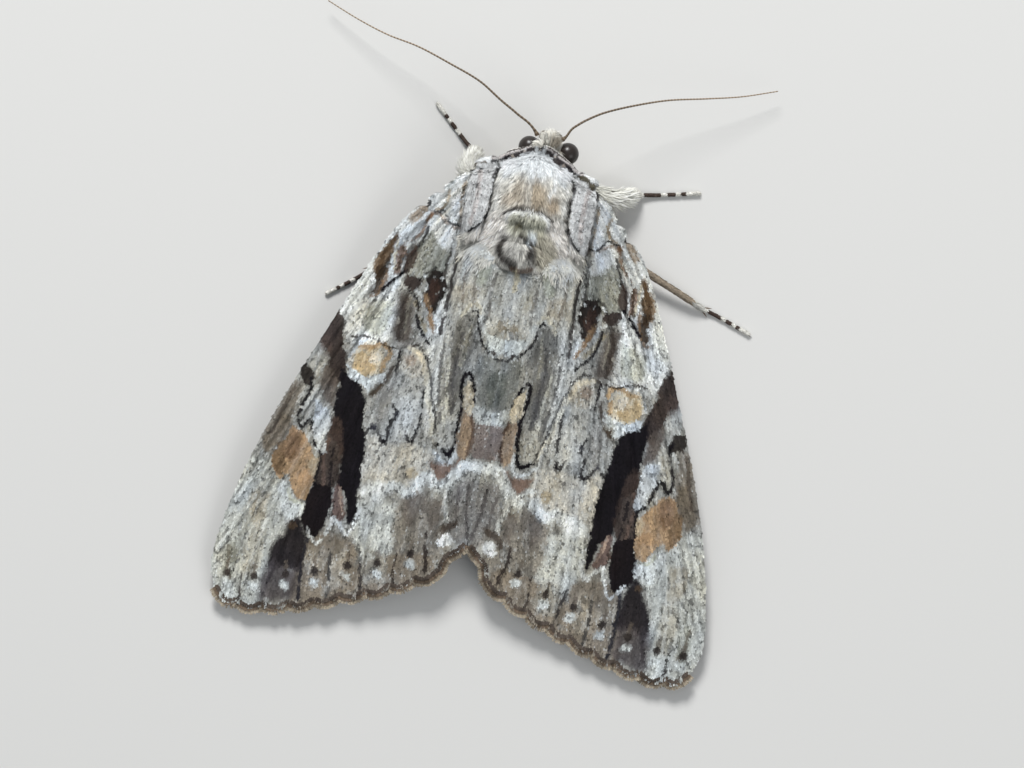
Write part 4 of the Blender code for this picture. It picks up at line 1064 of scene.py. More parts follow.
def membrane(name, edges, side, grid, height, thickness, paint, scallops=True):
    """A closed thin sheet over a wing's outline: (object, planform outline)."""
    rows, columns = grid
    u, v = (a.ravel() for a in np.meshgrid(np.linspace(0, 1, rows), np.linspace(0, 1, columns),
                                           indexing="ij"))
    places = wing_place(edges, u, v)
    if scallops:
        places = notched(places, v)
        places[:, 1] += scallop(u, v)
    top = np.column_stack([places, height(places)])
    rim = np.minimum(1, 8 * np.minimum(np.minimum(v, 1 - v), 1 - u) + 0.35)
    under = top - np.column_stack([0 * u, 0 * u, thickness * rim])
    count = rows * columns
    faces = grid_faces(rows, columns)
    border = np.concatenate([np.arange(columns), np.arange(1, rows) * columns + columns - 1,
                             (rows - 1) * columns + np.arange(columns - 2, -1, -1),
                             np.arange(rows - 2, 0, -1) * columns])
    following = np.roll(border, -1)
    side_faces = np.column_stack([following, border, border + count, following + count])
    up_faces = faces[:, ::-1] if side == LEFT else faces
    blocks = [up_faces, up_faces[:, ::-1] + count,
              side_faces if side == LEFT else side_faces[:, ::-1]]
    points = mirrored(np.vstack([top, under]), side)
    piece = add_piece(name, points, blocks, np.vstack([paint(places), underside_colours(places)]))
    return piece, places[border]


def underside_colours(places):
    """Colour of the wings' undersides and the hindwings: black-brown, paler at the margin."""
    colours = np.tile(linear((52, 45, 43)), (len(places), 1))
    colours = blend(colours, 0.5 * ramp(places[:, 1], 41.5, 44.5), linear(TAN))
    return colours * (0.75 + 0.5 * noise(places, 0.8, 21))[:, None]


def scale_lie(places):
    """Which way scales point on a forewing: away from its base, fanning out."""
    slope = (costa_reach(places[:, 1] + 0.2) - costa_reach(places[:, 1] - 0.2)) / 0.4
    return unit(np.column_stack([np.clip(fan_share(places), 0, 1) * slope, np.ones(len(places))]))


def hex_places(low, high, step, random):
    """Points in a box on a honeycomb, each moved a little off its place."""
    rows = np.arange(low[1], high[1], step * 0.866)
    columns = np.arange(low[0], high[0], step)
    x, y = np.meshgrid(columns, rows)
    x = x + step / 2 * (np.arange(len(rows)) % 2)[:, None]
    places = np.column_stack([x.ravel(), y.ravel()])
    return places + random.normal(0, SCATTER * step / 2, places.shape)


def wing_frame(places, side, height):
    """Roots, directions and normals of scales at places on a wing, in space."""
    step = 0.03
    level = height(places)
    across = (height(places + [step, 0]) - level) / step
    lengthwise = (height(places + [0, step]) - level) / step
    lie = scale_lie(places)
    rise = lie[:, 0] * across + lie[:, 1] * lengthwise
    roots = mirrored(np.column_stack([places, level]), side)
    ahead = mirrored(unit(np.column_stack([lie, rise])), side)
    up = mirrored(unit(np.column_stack([-across, -lengthwise, np.ones(len(places))])), side)
    return roots, ahead, up


def make_forewing(side, word, scales, skin):
    """One forewing: its thin skin, its scales, its fringe and the fur over its base."""
    random = np.random.default_rng(FOREWING_SEED + side)

    def height(places):
        return wing_height(places, side)

    def paint(places):
        return wing_colours(places, side)

    wing, outline = membrane(f"forewing_{word}_skin", (COSTA, INNER_MARGIN, OUTER_MARGIN), side,
                             FOREWING_GRID, height, MEMBRANE, paint)
    dress(wing, skin, "grey_scales", f"forewing_{word}")
    places = np.vstack([hex_places(low, high, SCALE_STEP, random) for low, high in SCALE_BOXES])
    places = places[is_inside(places, outline)]
    places = places[wing_sink(places) < 0.8]
    count = len(places)
    roots, ahead, up = wing_frame(places, side, height)
    ahead = strayed(ahead, up, 0.16, random)
    full = 0.5 + 0.5 * ramp(places[:, 1], 8.0, 11.0)     # scales are smaller near the base
    length = dice(random, count, 0.26, 0.37) * (0.6 + 0.4 * full)
    shown = places + scale_lie(places) * (SHOWN * length)[:, None]
    shown = shown + random.normal(0, 0.03, places.shape)
    colours = mixed_scales(paint(shown), random, 0.05, 0.03, 0.12)
    spots = np.column_stack([fan_share(places), places[:, 1] / 46])
    coat(f"forewing_{word}_scales", "scale", roots, ahead, up, length,
         dice(random, count, 0.14, 0.2), root_to_tip(colours, 0.85, 1.1), spots, scales,
         "grey_scales", lift=dice(random, count, 0.05, 0.2) * full)
    make_fringe(side, word, scales, height, random)
    make_base_fur(side, word, scales, height, random)


def make_base_fur(side, word, finish, height, random):
    """Hairs over the base of the wing, which carry the thorax's fur on to it."""
    places = np.column_stack([dice(random, BASE_HAIRS, 0.1, 5.4),
                              dice(random, BASE_HAIRS, 9.0, 13.0)])
    thinning = 1 - ramp(places[:, 1] + 2.0 * noise(places, 0.5, 51), 10.0, 13.4)
    places = places[(random.random(len(places)) < thinning) & (wing_sink(places) < 0.9)]
    count = len(places)
    level = height(places) + 0.3 * wing_sink(places)
    roots = mirrored(np.column_stack([places, level]), side)
    slope = height(places + [0, 0.3]) - height(places)
    lie = np.column_stack([0.08 * places[:, 0], np.ones(count), np.clip(slope / 0.3, -0.5, 0.5)])
    up = np.tile([0.0, 0.0, 1.0], (count, 1))
    ahead = strayed(mirrored(unit(lie), side), up, 0.22, random)
    length = dice(random, count, 0.5, 0.9)
    tint = linear((196, 196, 191)) * (0.66 + 0.68 * noise(places, 0.3, 52, 2))[:, None]
    tint *= (1 - 0.4 * bump_at(places, (0, 10.4), (2.4, 0.9)))[:, None]
    tint *= warmth(noise(places, 0.9, 53, 2))
    coat(f"forewing_{word}_base_fur", "hair", roots, ahead, up, length,
         dice(random, count, 0.08, 0.14), root_to_tip(tint, 0.85, 1.15), places / [6, 14], finish,
         "pale_fur", lift=dice(random, count, 0.02, 0.14), bend=dice(random, count, 0.02, 0.08))


def fringe_route():
    """The edge that carries the fringe, from the apex round the inner corner."""
    v = np.linspace(0, 1, 400)
    outer = wing_place((COSTA, INNER_MARGIN, OUTER_MARGIN), np.ones(400), v)
    outer[:, 1] += scallop(1.0, v)
    inner = on_curve(INNER_MARGIN, np.linspace(1, 0.885, 60))[1:]
    return np.vstack([outer, inner])


def make_fringe(side, word, scales, height, random):
    """Hair scales along the outer margin: brown near the wing and cream at their tips."""
    count = FRINGE_SCALES
    route = fringe_route()
    share = np.sort(random.random(count))
    places = on_curve(route, share)
    after, before = np.clip(share + 0.004, 0, 1), np.clip(share - 0.004, 0, 1)
    tangent = unit(on_curve(route, after) - on_curve(route, before))
    outward = np.column_stack([tangent[:, 1], -tangent[:, 0]])
    outward *= np.sign((outward * (places - [11.0, 30.0])).sum(1))[:, None]
    layer = random.integers(0, 3, count)
    places = places - outward * np.array([0.08, 0.22, 0.38])[layer][:, None]
    roots = mirrored(np.column_stack([places, height(places) + 0.03 * layer - 0.03]), side)
    ahead = mirrored(unit(np.column_stack([outward, np.full(count, -0.08)])), side)
    up = np.tile([0.0, 0.0, 1.0], (count, 1))
    ahead = strayed(ahead, up, 0.12, random)
    shade = dice(random, count, 0.75, 1.25)[:, None]
    dusk = ramp(noise(places, 0.6, 9 + side), 0.42, 0.62)[:, None]
    tips = linear(((178, 166, 146), (122, 106, 90), (94, 84, 76)))[layer]
    tips = tips * (1 - 0.5 * dusk) * shade
    feet = linear(((72, 60, 52), (60, 50, 44), (78, 70, 64)))[layer] * shade
    spots = np.column_stack([share, layer / 2 + 0.05 * random.random(count)])
    length = np.array([0.62, 0.46, 0.34])[layer] * dice(random, count, 0.8, 1.2)
    coat(f"forewing_{word}_fringe", "scale", roots, ahead, up, length,
         dice(random, count, 0.08, 0.13), (feet, tips), spots, scales, "grey_scales",
         lift=dice(random, count, -0.03, 0.06))


def make_hindwing(side, word, skin, scales):
    """One hindwing, folded under the forewing: its thin skin and its fringe."""
    random = np.random.default_rng(HINDWING_SEED + side)

    def height(places):
        out, along = places.T
        return roof(out, along) - 0.95 + 0.05 * np.sin(out * 2.4)

    wing, _ = membrane(f"hindwing_{word}_skin", (HIND_COSTA, HIND_INNER, HIND_OUTER), side,
                       HINDWING_GRID, height, HIND_MEMBRANE, underside_colours, scallops=False)
    dress(wing, skin, "hindwing_scales", f"hindwing_{word}")
    count = HIND_FRINGE_SCALES
    share = random.random(count)
    places = on_curve(HIND_OUTER, share)
    outward = unit(places - [8.0, 24.0])
    places = places - outward * 0.1
    roots = mirrored(np.column_stack([places, height(places) - 0.03]), side)
    ahead = mirrored(np.column_stack([outward, np.full(count, -0.1)]), side)
    up = np.tile([0.0, 0.0, 1.0], (count, 1))
    ahead = strayed(unit(ahead), up, 0.12, random)
    tone = linear((196, 190, 180)) * dice(random, count, 0.7, 1.1)[:, None]
    coat(f"hindwing_{word}_fringe", "scale", roots, ahead, up, dice(random, count, 0.6, 0.9),
         dice(random, count, 0.1, 0.16), root_to_tip(tone, 0.5, 1),
         np.column_stack([share, random.random(count)]), scales, "hindwing_scales", lift=0.03)


# ---------------------------------------------------------------- head, trunk and abdomen

FUR_DEPTH, ABDOMEN_DEPTH = 0.45, 0.3     # how deep the skin lies inside the solids
SKIN_STEP = 0.13                         # size of the skin's faces
BODY_SIDES = 40                          # round the trunk and abdomen
BODY_HAIRS, ABDOMEN_SCALES = 74000, 6500
# The shoulder flap's middle line (out, along, up) and its half width along it.
FLAP = ((3.9, 2.9, 6.6), (4.3, 3.6, 7.3), (4.55, 4.8, 7.75), (4.6, 6.4, 7.95), (4.7, 8.0, 7.95),
        (5.0, 9.2, 7.7), (5.2, 9.9, 7.4))
FLAP_WIDTH = ((0, 0.6), (0.15, 1.0), (0.4, 1.2), (0.7, 1.12), (0.9, 0.75), (1, 0.45))
FLAP_INNER_EDGE = ((3.1, 3.2), (3.45, 4.3), (3.45, 5.3), (3.5, 6.4), (3.55, 7.4), (3.95, 8.4),
                   (4.9, 9.4))
FLAP_OUTER_EDGE = ((5.3, 3.2), (5.8, 4.4), (5.85, 6.0), (5.85, 8.0), (5.75, 10.0))


def body_loft(table, rings, inset, steps=0):
    """A closed loft through a table's sections, inset by a depth and stepped like an abdomen."""
    along = np.linspace(table[0][0], table[-1][0], rings)
    half, low, high = smooth(table, along).T
    wave = 0.0
    if steps:
        wave = 0.1 * ((along - table[0][0]) * steps / (table[-1][0] - table[0][0]) % 1)
    angle = np.linspace(0, 2 * np.pi, BODY_SIDES, endpoint=False)
    middle, rise = (low + high) / 2, (high - low) / 2
    wide = np.maximum(half - inset + wave, 0.05)
    tall = np.maximum(rise - inset + wave, 0.05)
    points = np.stack([wide[:, None] * np.cos(angle),
                       np.broadcast_to(along[:, None], (rings, BODY_SIDES)),
                       middle[:, None] + tall[:, None] * np.sin(angle)], axis=2)
    start = np.arange(BODY_SIDES)[None]
    end = start[:, ::-1] + (rings - 1) * BODY_SIDES
    return points.reshape(-1, 3), [grid_faces(rings, BODY_SIDES, True)[:, ::-1], start, end]


def shoulder_flap(side):
    """The closed lobe that covers a forewing's base."""
    share = np.linspace(0, 1, 30)
    path = mirrored(on_curve(FLAP, share), side)
    return sweep(path - [0, 0, 0.35], smooth(FLAP_WIDTH, share), 20, 0.36, (0.42 * side, 0, 1))


def fused(shapes, step):
    """One closed skin round several closed shapes: its points and its quads."""
    points, faces = join(shapes)
    mesh = bpy.data.meshes.new("fused")
    rows = [tuple(row) for block in faces for row in block.tolist()]
    mesh.from_pydata(points.tolist(), [], rows)
    mesh.update()
    lump = bpy.data.objects.new("fused", mesh)
    bpy.context.scene.collection.objects.link(lump)
    remesh = lump.modifiers.new("one_skin", "REMESH")
    remesh.mode = "VOXEL"
    remesh.voxel_size = step
    softer = lump.modifiers.new("soften", "SMOOTH")
    softer.iterations = 4
    graph = bpy.context.evaluated_depsgraph_get()
    skin = bpy.data.meshes.new_from_object(lump.evaluated_get(graph))
    bpy.data.objects.remove(lump)
    found = np.empty(len(skin.vertices) * 3, np.float32)
    skin.vertices.foreach_get("co", found)
    corners = np.empty(len(skin.loops), np.int32)
    skin.loops.foreach_get("vertex_index", corners)
    return found.reshape(-1, 3).astype(float), corners.reshape(-1, 4)


def bump_at(places, centre, size):
    """A soft hump, 1 at its centre and fading over its size."""
    reach = (places - np.asarray(centre, float)) / np.asarray(size, float)
    return np.exp(-(reach ** 2).sum(1))


def body_relief(places):
    """How far the skin rises or sinks: the collar's edge, the crest and the tuft behind it."""
    top = folded(places)
    edge = curve(COLLAR_EDGE, COLLAR_POINTS)
    groove = -0.1 * bell(line_distance(top, curve(FLAP_INNER_EDGE, 24)), 0.2)
    rim = 0.34 * bell(line_distance(top, edge + [0, 0.2]), 0.3)
    behind = -0.2 * bell(line_distance(top, edge + [-0.1, 0.62]), 0.18)
    crest = 0.34 * bump_at(top, (0.0, 7.25), (2.0, 0.4))
    waist = -0.3 * bump_at(top, (0.0, 9.5), (2.2, 0.35))
    tuft = 0.95 * bump_at(places[:, :2], (0.35, 10.9), (1.6, 1.1))
    parting = -0.15 * bell(places[:, 0], 0.2) * (1 - ramp(places[:, 1], 5.8, 6.6))
    lumps = 0.22 * (noise(places, 0.9, 31, 2) - 0.5)
    relief = groove + rim + behind + crest + tuft + waist + parting
    return relief * ramp(places[:, 2], 4.6, 6.2) + lumps


def corner_normals(points, quads):
    """The skin's normal at each of its points."""
    a, b, c, d = (points[quads[:, k]] for k in range(4))
    normal = np.cross(c - a, d - b)
    total = np.zeros_like(points)
    for k in range(4):
        np.add.at(total, quads[:, k], normal)
    return unit(total)


def make_body_skin(skin):
    """One skin over the head, collar, trunk, shoulder flaps and abdomen."""
    shapes = [
        body_loft(TRUNK, 40, FUR_DEPTH),
        body_loft(ABDOMEN, 90, ABDOMEN_DEPTH, steps=8),
        ellipsoid((HEAD_MIDDLE, 0.35, 4.6), (0.88, 0.85, 1.75)),
        ellipsoid((HEAD_MIDDLE, 0.8, 4.1), (1.6, 0.7, 1.1)),
        ellipsoid((HEAD_MIDDLE / 2, 1.5, 4.5), (1.7, 1.2, 2.0)),
        shoulder_flap(LEFT),
        shoulder_flap(RIGHT),
    ]
    points, quads = fused(shapes, SKIN_STEP)
    normals = corner_normals(points, quads)
    points = points + normals * body_relief(points)[:, None]
    piece = add_piece("body_skin", points, [quads], body_colours(points) * 0.8)
    dress(piece, skin, "pale_fur", "head", "collar", "thorax", "tegula_left", "tegula_right",
          "abdomen")
    return points, quads


def scatter(points, quads, count, random):
    """Places spread evenly over a skin, with their normals."""
    a, b, c, d = (points[quads[:, k]] for k in range(4))
    normal = np.cross(c - a, d - b)
    area = np.linalg.norm(normal, axis=1)
    chosen = np.searchsorted(np.cumsum(area) / area.sum(), random.random(count))
    chosen = np.minimum(chosen, len(quads) - 1)
    s, t = random.random((2, count, 1))
    spot = ((1 - s) * (1 - t) * a[chosen] + s * (1 - t) * b[chosen] + s * t * c[chosen]
            + (1 - s) * t * d[chosen])
    return spot, unit(normal[chosen])


def fur_lie(places):
    """Which way the fur points: forward over the brow, out from the middle of the hind tuft,
    and elsewhere back and a little outward.
    """
    x, y, z = places.T
    sway = 0.9 * (noise(places, 0.9, 32, 2) - 0.5)
    lie = unit(np.column_stack([0.22 * np.clip(x, -2.4, 2.4) + sway, 1.0 + 0 * y, -0.15 * (z < 5)]))
    crown = places - np.array([HEAD_MIDDLE, 1.35, 3.9])
    head = (1 - ramp(y, 0.75, 1.05))[:, None]
    lie = lie * (1 - head) + unit(crown * [1.3, 1.0, 0.35]) * head
    tuft = np.minimum(1, 1.3 * bump_at(places[:, :2], (0.4, 10.3), (1.8, 1.2)))[:, None]
    burst = unit(np.column_stack([x - 0.5, y - 8.2, 0 * z]))
    return unit(lie * (1 - tuft) + burst * tuft)


def body_spots(places):
    """Where places lie on the body's skin unrolled: round it, and along it."""
    trunk = smooth([(row[0], (row[2] + row[3]) / 2) for row in TRUNK], places[:, 1])
    middle = np.where(places[:, 1] < 12.5, trunk, 3.6)
    return np.column_stack([np.arctan2(places[:, 0], places[:, 2] - middle) / (2 * np.pi),
                            places[:, 1] / 36])


def on_flap(places):
    """Whether places lie on a shoulder flap."""
    outline = np.vstack([curve(FLAP_INNER_EDGE, 20),
                         on_curve(FLAP_OUTER_EDGE, np.linspace(1, 0, 20))])
    return is_inside(folded(places), outline) & (places[:, 2] > 5.6)


def eye_centres():
    """The middle of each eye."""
    return [np.array([HEAD_MIDDLE + side * EYE_APART, *EYE_AT]) for side, _ in SIDES]


def fur_roots(points, quads, random):
    """Where hair and scales stand on the head and trunk, and the skin's normals there."""
    trunk = quads[points[quads].mean(1)[:, 1] < 13.4]
    roots, up = scatter(points, trunk, BODY_HAIRS, random)
    x, y, z = roots.T
    under_wing = z < roof(np.abs(x), y) - wing_sink(folded(roots)) - 0.4
    bare = ((y > 11) & (z < 6)) | ((y > 9.6) & under_wing)
    for centre in eye_centres():
        bare |= np.linalg.norm(roots - centre, axis=1) < EYE_RADIUS + 0.02
    keep = ~bare & (random.random(len(roots)) < np.where(z > 4.5, 1.0, 0.3))
    roots, up = roots[keep], up[keep]
    keep = ~on_flap(roots) | (random.random(len(roots)) < 0.8)
    return roots[keep], up[keep]


def make_fur(points, quads, fur):
    """The coat of the head, trunk and abdomen, each part with scales or hair of its own."""
    random = np.random.default_rng(BODY_SEED)
    roots, up = fur_roots(points, quads, random)
    flap, head, collar = on_flap(roots), on_head(roots), on_collar(roots)
    make_flap_scales(roots[flap], up[flap], fur, random)
    make_collar_scales(roots[collar], up[collar], fur, random)
    make_head_tuft(roots[head], up[head], fur, random)
    rest = ~(flap | head | collar)
    make_body_fur(roots[rest], up[rest], fur, random)
    make_abdomen_coat(points, quads, fur, random)


def make_body_fur(roots, up, fur, random):
    """The hair of the trunk. The skirt is the longer hair that lies level over the wings."""
    count = len(roots)
    x, y, z = roots.T
    skirt = ramp(y, 7.8, 8.8) * (z > 5) * (1 - ramp(np.abs(x), 4.2, 4.8))
    skirt = skirt * ramp(np.abs(x - 0.4), 1.3, 2.1)
    up = unit(up * (1 - skirt)[:, None] + np.array([0, 0.12, 1]) * skirt[:, None])
    ahead = strayed(fur_lie(roots), up, 0.2, random)
    length = np.where(y < 3.2, 0.5, 0.74) * dice(random, count, 0.75, 1.25)
    fade = 1 - 0.5 * ramp(np.abs(x), 3.0, 4.4)
    length = length * (1 + dice(random, count, 0.1, 1.0) * skirt * fade)
    lift = dice(random, count, 0.08, 0.36) * (1 - 0.7 * skirt)
    colours = body_colours(roots)
    tips = body_colours(roots + ahead * (0.6 * length)[:, None])
    lock = 0.72 + 0.56 * noise(roots, 0.26, 33, 2)
    own = uneven(random, count, 0.16) * lock[:, None]
    shades = np.clip(colours * own * 0.78, 0, 1), np.clip(tips * own * 1.16, 0, 1)
    coat("body_fur", "hair", roots, ahead, up, length, dice(random, count, 0.08, 0.14), shades,
         body_spots(roots), fur, "pale_fur", lift=lift, bend=dice(random, count, 0.05, 0.22))


def on_head(places):
    """Whether places lie on the head in front of the collar."""
    return places[:, 1] < 0.75 + 0.12 * np.abs(places[:, 0] - HEAD_MIDDLE)


def on_collar(places):
    """Whether places lie on the collar, the band just behind the head."""
    band = curve(COLLAR_EDGE, COLLAR_POINTS) + [0, 0.3]
    near = (line_distance(folded(places), band) < 0.5) & (places[:, 2] > 4.2)
    return near & ~on_head(places) & ~on_flap(places)


def make_collar_scales(roots, up, fur, random):
    """Short scales pointing forward and out on the collar, so that its lines stay crisp."""
    count = len(roots)
    x = roots[:, 0]
    ahead = unit(np.column_stack([0.5 * x, -1.0 + 0 * x, 0 * x]))
    ahead = strayed(ahead, up, 0.15, random)
    length = dice(random, count, 0.2, 0.3)
    colours = body_colours(roots + ahead * (SHOWN * length)[:, None])
    colours = colours * uneven(random, count, 0.12)
    coat("collar_scales", "scale", roots, ahead, up, length, dice(random, count, 0.11, 0.17),
         root_to_tip(colours, 0.85, 1.12), body_spots(roots), fur, "pale_fur",
         lift=dice(random, count, 0.08, 0.25))


def make_head_tuft(roots, up, fur, random):
    """Fine pale hair combed forward over crown and brow in a round tuft, shortest on the face."""
    count = len(roots)
    x, y, z = roots.T
    crown = ramp(z, 3.6, 4.8) * (1 - ramp(np.abs(x - HEAD_MIDDLE), 0.95, 1.3))
    ahead = strayed(fur_lie(roots), up, 0.28, random)
    middle = 1 - ramp(np.abs(x - HEAD_MIDDLE), 0.2, 1.1)
    length = (0.3 + 0.5 * crown * (0.55 + 0.6 * middle)) * dice(random, count, 0.7, 1.25)
    width = dice(random, count, 0.08, 0.13)
    tint = linear((226, 223, 214)) * (0.72 + 0.56 * noise(roots, 0.4, 34, 2))[:, None]
    from_tan = np.linalg.norm(np.column_stack([x - HEAD_MIDDLE + 0.4, 0.8 * (y - 0.75)]), axis=1)
    tint = blend(tint, 0.6 * (1 - ramp(from_tan, 0.2, 0.65)), linear((152, 134, 106)))
    tint = tint * (0.6 + 0.4 * crown)[:, None] * uneven(random, count, 0.14)
    lift = dice(random, count, 0.12, 0.6) * (0.5 + 0.5 * crown)
    coat("head_tuft", "hair", roots, ahead, up, length, width, root_to_tip(tint, 0.55, 1.15),
         body_spots(roots), fur, "pale_fur", lift=lift, bend=dice(random, count, 0.05, 0.3))


def make_flap_scales(roots, up, fur, random):
    """The shoulder flaps' scales, which lie straight back."""
    count = len(roots)
    ahead = strayed(np.tile([0.0, 1.0, 0.0], (count, 1)), up, 0.12, random)
    length = dice(random, count, 0.28, 0.42)
    colours = body_colours(roots + ahead * (SHOWN * length)[:, None])
    colours = mixed_scales(colours, random, 0.04, 0.08, 0.12)
    coat("flap_scales", "scale", roots, ahead, up, length, dice(random, count, 0.13, 0.2),
         root_to_tip(colours, 0.85, 1.1), body_spots(roots), fur, "pale_fur",
         lift=dice(random, count, 0.05, 0.18))


def make_abdomen_coat(points, quads, fur, random):
    """The abdomen's broad scales, which lie straight back."""
    tail = quads[points[quads].mean(1)[:, 1] > 12.8]
    roots, up = scatter(points, tail, ABDOMEN_SCALES, random)
    count = len(roots)
    ahead = strayed(np.tile([0.0, 1.0, 0.0], (count, 1)), up, 0.14, random)
    colours = mixed_scales(body_colours(roots), random, 0.1, 0.1)
    coat("abdomen_scales", "scale", roots, ahead, up, dice(random, count, 0.45, 0.7),
         dice(random, count, 0.2, 0.3), root_to_tip(colours, 0.75, 1), body_spots(roots), fur,
         "grey_scales", lift=dice(random, count, 0.06, 0.2))


def make_eyes(gloss):
    """Two smooth globes."""
    for (_, word), centre in zip(SIDES, eye_centres()):
        points, faces = ellipsoid(centre, (EYE_RADIUS - 0.02,) * 3, 48, 64)
        eye = add_piece(f"eye_{word}_globe", points, faces)
        dress(eye, gloss, "eye_brown", f"eye_{word}")


# ---------------------------------------------------------------- feelers, palps and legs

ANTENNAE = {
    "antenna_left": (LEFT, ((1.2, -0.1, 5.3), (2.0, -1.2, 5.6), (4.3, -2.6, 5.5), (6.4, -3.9, 5.0),
      (9.3, -5.0, 4.2), (12.3, -6.0, 3.3), (15.2, -6.6, 2.5), (18.0, -7.5, 1.8), (21.0, -8.7, 1.2))),
    "antenna_right": (RIGHT, ((1.0, -0.1, 5.3), (2.3, -1.15, 5.6), (3.4, -2.1, 5.6), (4.9, -3.1, 5.2),
      (7.3, -4.2, 4.6), (10.3, -5.3, 3.7), (13.6, -6.1, 2.8), (16.7, -6.9, 2.0), (19.8, -8.0, 1.3))),
}
ANTENNA_JOINTS, ANTENNA_SIDES = 72, 10
PALP = ((0.55, 0.6, 1.9), (0.56, 0.05, 2.1), (0.55, -0.2, 2.7), (0.52, -0.24, 3.3),
        (0.48, -0.14, 3.7))
PALP_RADII = ((0, 0.28), (0.3, 0.36), (0.62, 0.33), (0.75, 0.15), (0.95, 0.13), (1, 0.04))

# Each leg's side, the number of the knot where its foot starts, and its middle line from hip to
# claw: out, along, up, and how far its coat reaches.
LEGS = {
    "leg_front_left": (LEFT, 7, ((1.3, 3.6, 2.4, 0.55), (2.6, 3.3, 1.3, 0.5), (3.9, 3.9, 1.9, 0.65),
      (4.9, 4.5, 2.4, 0.75), (5.7, 4.4, 2.4, 0.85), (6.0, 3.7, 2.1, 0.95), (5.8, 2.9, 1.6, 0.8),
      (5.8, 2.2, 0.95, 0.4), (6.7, 1.4, 0.4, 0.27), (8.0, 0.2, 0.2, 0.27), (9.75, -1.45, 0.2, 0.27))),
    "leg_front_right": (RIGHT, 6, ((1.3, 3.6, 2.4, 0.55), (2.6, 3.2, 1.3, 0.5), (4.2, 3.5, 1.9, 0.65),
      (5.6, 3.9, 2.4, 0.85), (7.0, 4.1, 2.0, 0.95), (8.2, 3.8, 1.3, 0.75), (9.1, 3.35, 0.6, 0.35),
      (11.1, 2.95, 0.2, 0.27), (14.6, 2.15, 0.2, 0.27))),
    "leg_middle_left": (LEFT, 6, ((2.0, 7.2, 2.2, 0.55), (3.2, 7.3, 0.95, 0.5), (5.2, 8.0, 1.45, 0.6),
      (7.0, 8.8, 1.7, 0.5), (9.4, 11.0, 1.35, 0.45), (11.5, 12.9, 0.9, 0.4), (12.8, 14.0, 0.4, 0.27),
      (14.2, 15.2, 0.2, 0.27), (16.4, 16.9, 0.2, 0.27))),
    "leg_middle_right": (RIGHT, 6, ((2.0, 7.2, 2.2, 0.55), (3.2, 7.3, 0.95, 0.5), (5.4, 7.8, 1.45, 0.6),
      (7.6, 8.4, 1.7, 0.5), (11.6, 10.1, 1.3, 0.45), (15.5, 11.7, 0.8, 0.4), (16.7, 12.2, 0.4, 0.27),
      (18.1, 12.6, 0.2, 0.27), (21.2, 13.7, 0.2, 0.27))),
    "leg_hind_left": (LEFT, 6, ((1.7, 10.2, 2.2, 0.55), (2.7, 10.7, 0.95, 0.5), (4.4, 12.2, 1.4, 0.6),
      (6.0, 13.6, 1.6, 0.5), (6.9, 18.2, 1.3, 0.45), (7.6, 22.6, 0.85, 0.4), (7.9, 24.2, 0.4, 0.27),
      (8.2, 25.8, 0.2, 0.27), (9.0, 30.6, 0.2, 0.27))),
    "leg_hind_right": (RIGHT, 6, ((1.7, 10.2, 2.2, 0.55), (2.7, 10.7, 0.95, 0.5), (4.4, 12.0, 1.4, 0.6),
      (6.2, 13.2, 1.6, 0.5), (7.3, 17.7, 1.3, 0.45), (8.3, 22.1, 0.85, 0.4), (8.7, 23.7, 0.4, 0.27),
      (9.1, 25.3, 0.2, 0.27), (10.2, 29.9, 0.2, 0.27))),
}
FOOT_RADIUS, FOOT_REACH = 0.15, 0.27     # a foot's own radius, and with its coat
LEG_SIDES = 12
PALP_SCALES, LEG_SCALES, PLUME_HAIRS = 1500, 2800, 4200
FLOOR_GAP = 0.09            # scales that would come nearer to the floor are left out
# Where the pale rings of a foot start and stop, as shares of the foot's length.
FOOT_RINGS = ((0.0, 0.1), (0.37, 0.47), (0.6, 0.69), (0.77, 1.01))


def make_antennae(finish):
    """Two beaded threads, darker between their joints and paler towards their tips."""
    for name, (side, route) in ANTENNAE.items():
        share = np.linspace(0, 1, ANTENNA_JOINTS * 4 + 1)
        path = mirrored(on_curve(route, share), side)
        path[:, 0] += HEAD_MIDDLE * (1 - ramp(share, 0.0, 0.1))
        bead = np.abs(np.sin(np.pi * ANTENNA_JOINTS * share))
        radius = (0.115 - 0.065 * share) * (0.84 + 0.16 * bead)
        radius = radius + 0.1 * bell(share, 0.018)
        radius[-1] = 0.02
        points, faces = sweep(path, radius, ANTENNA_SIDES)
        dark, pale = linear((72, 60, 50)), linear((132, 118, 100))
        tone = (0.5 + 0.5 * np.cos(np.pi * ANTENNA_JOINTS * share * 2))[:, None]
        tint = (dark + tone * (pale - dark)) * (1 + 1.1 * ramp(share, 0.25, 0.8))[:, None]
        feeler = add_piece(name + "_joints", points, faces, np.repeat(tint, ANTENNA_SIDES, axis=0))
        dress(feeler, finish, "antenna_brown", name)


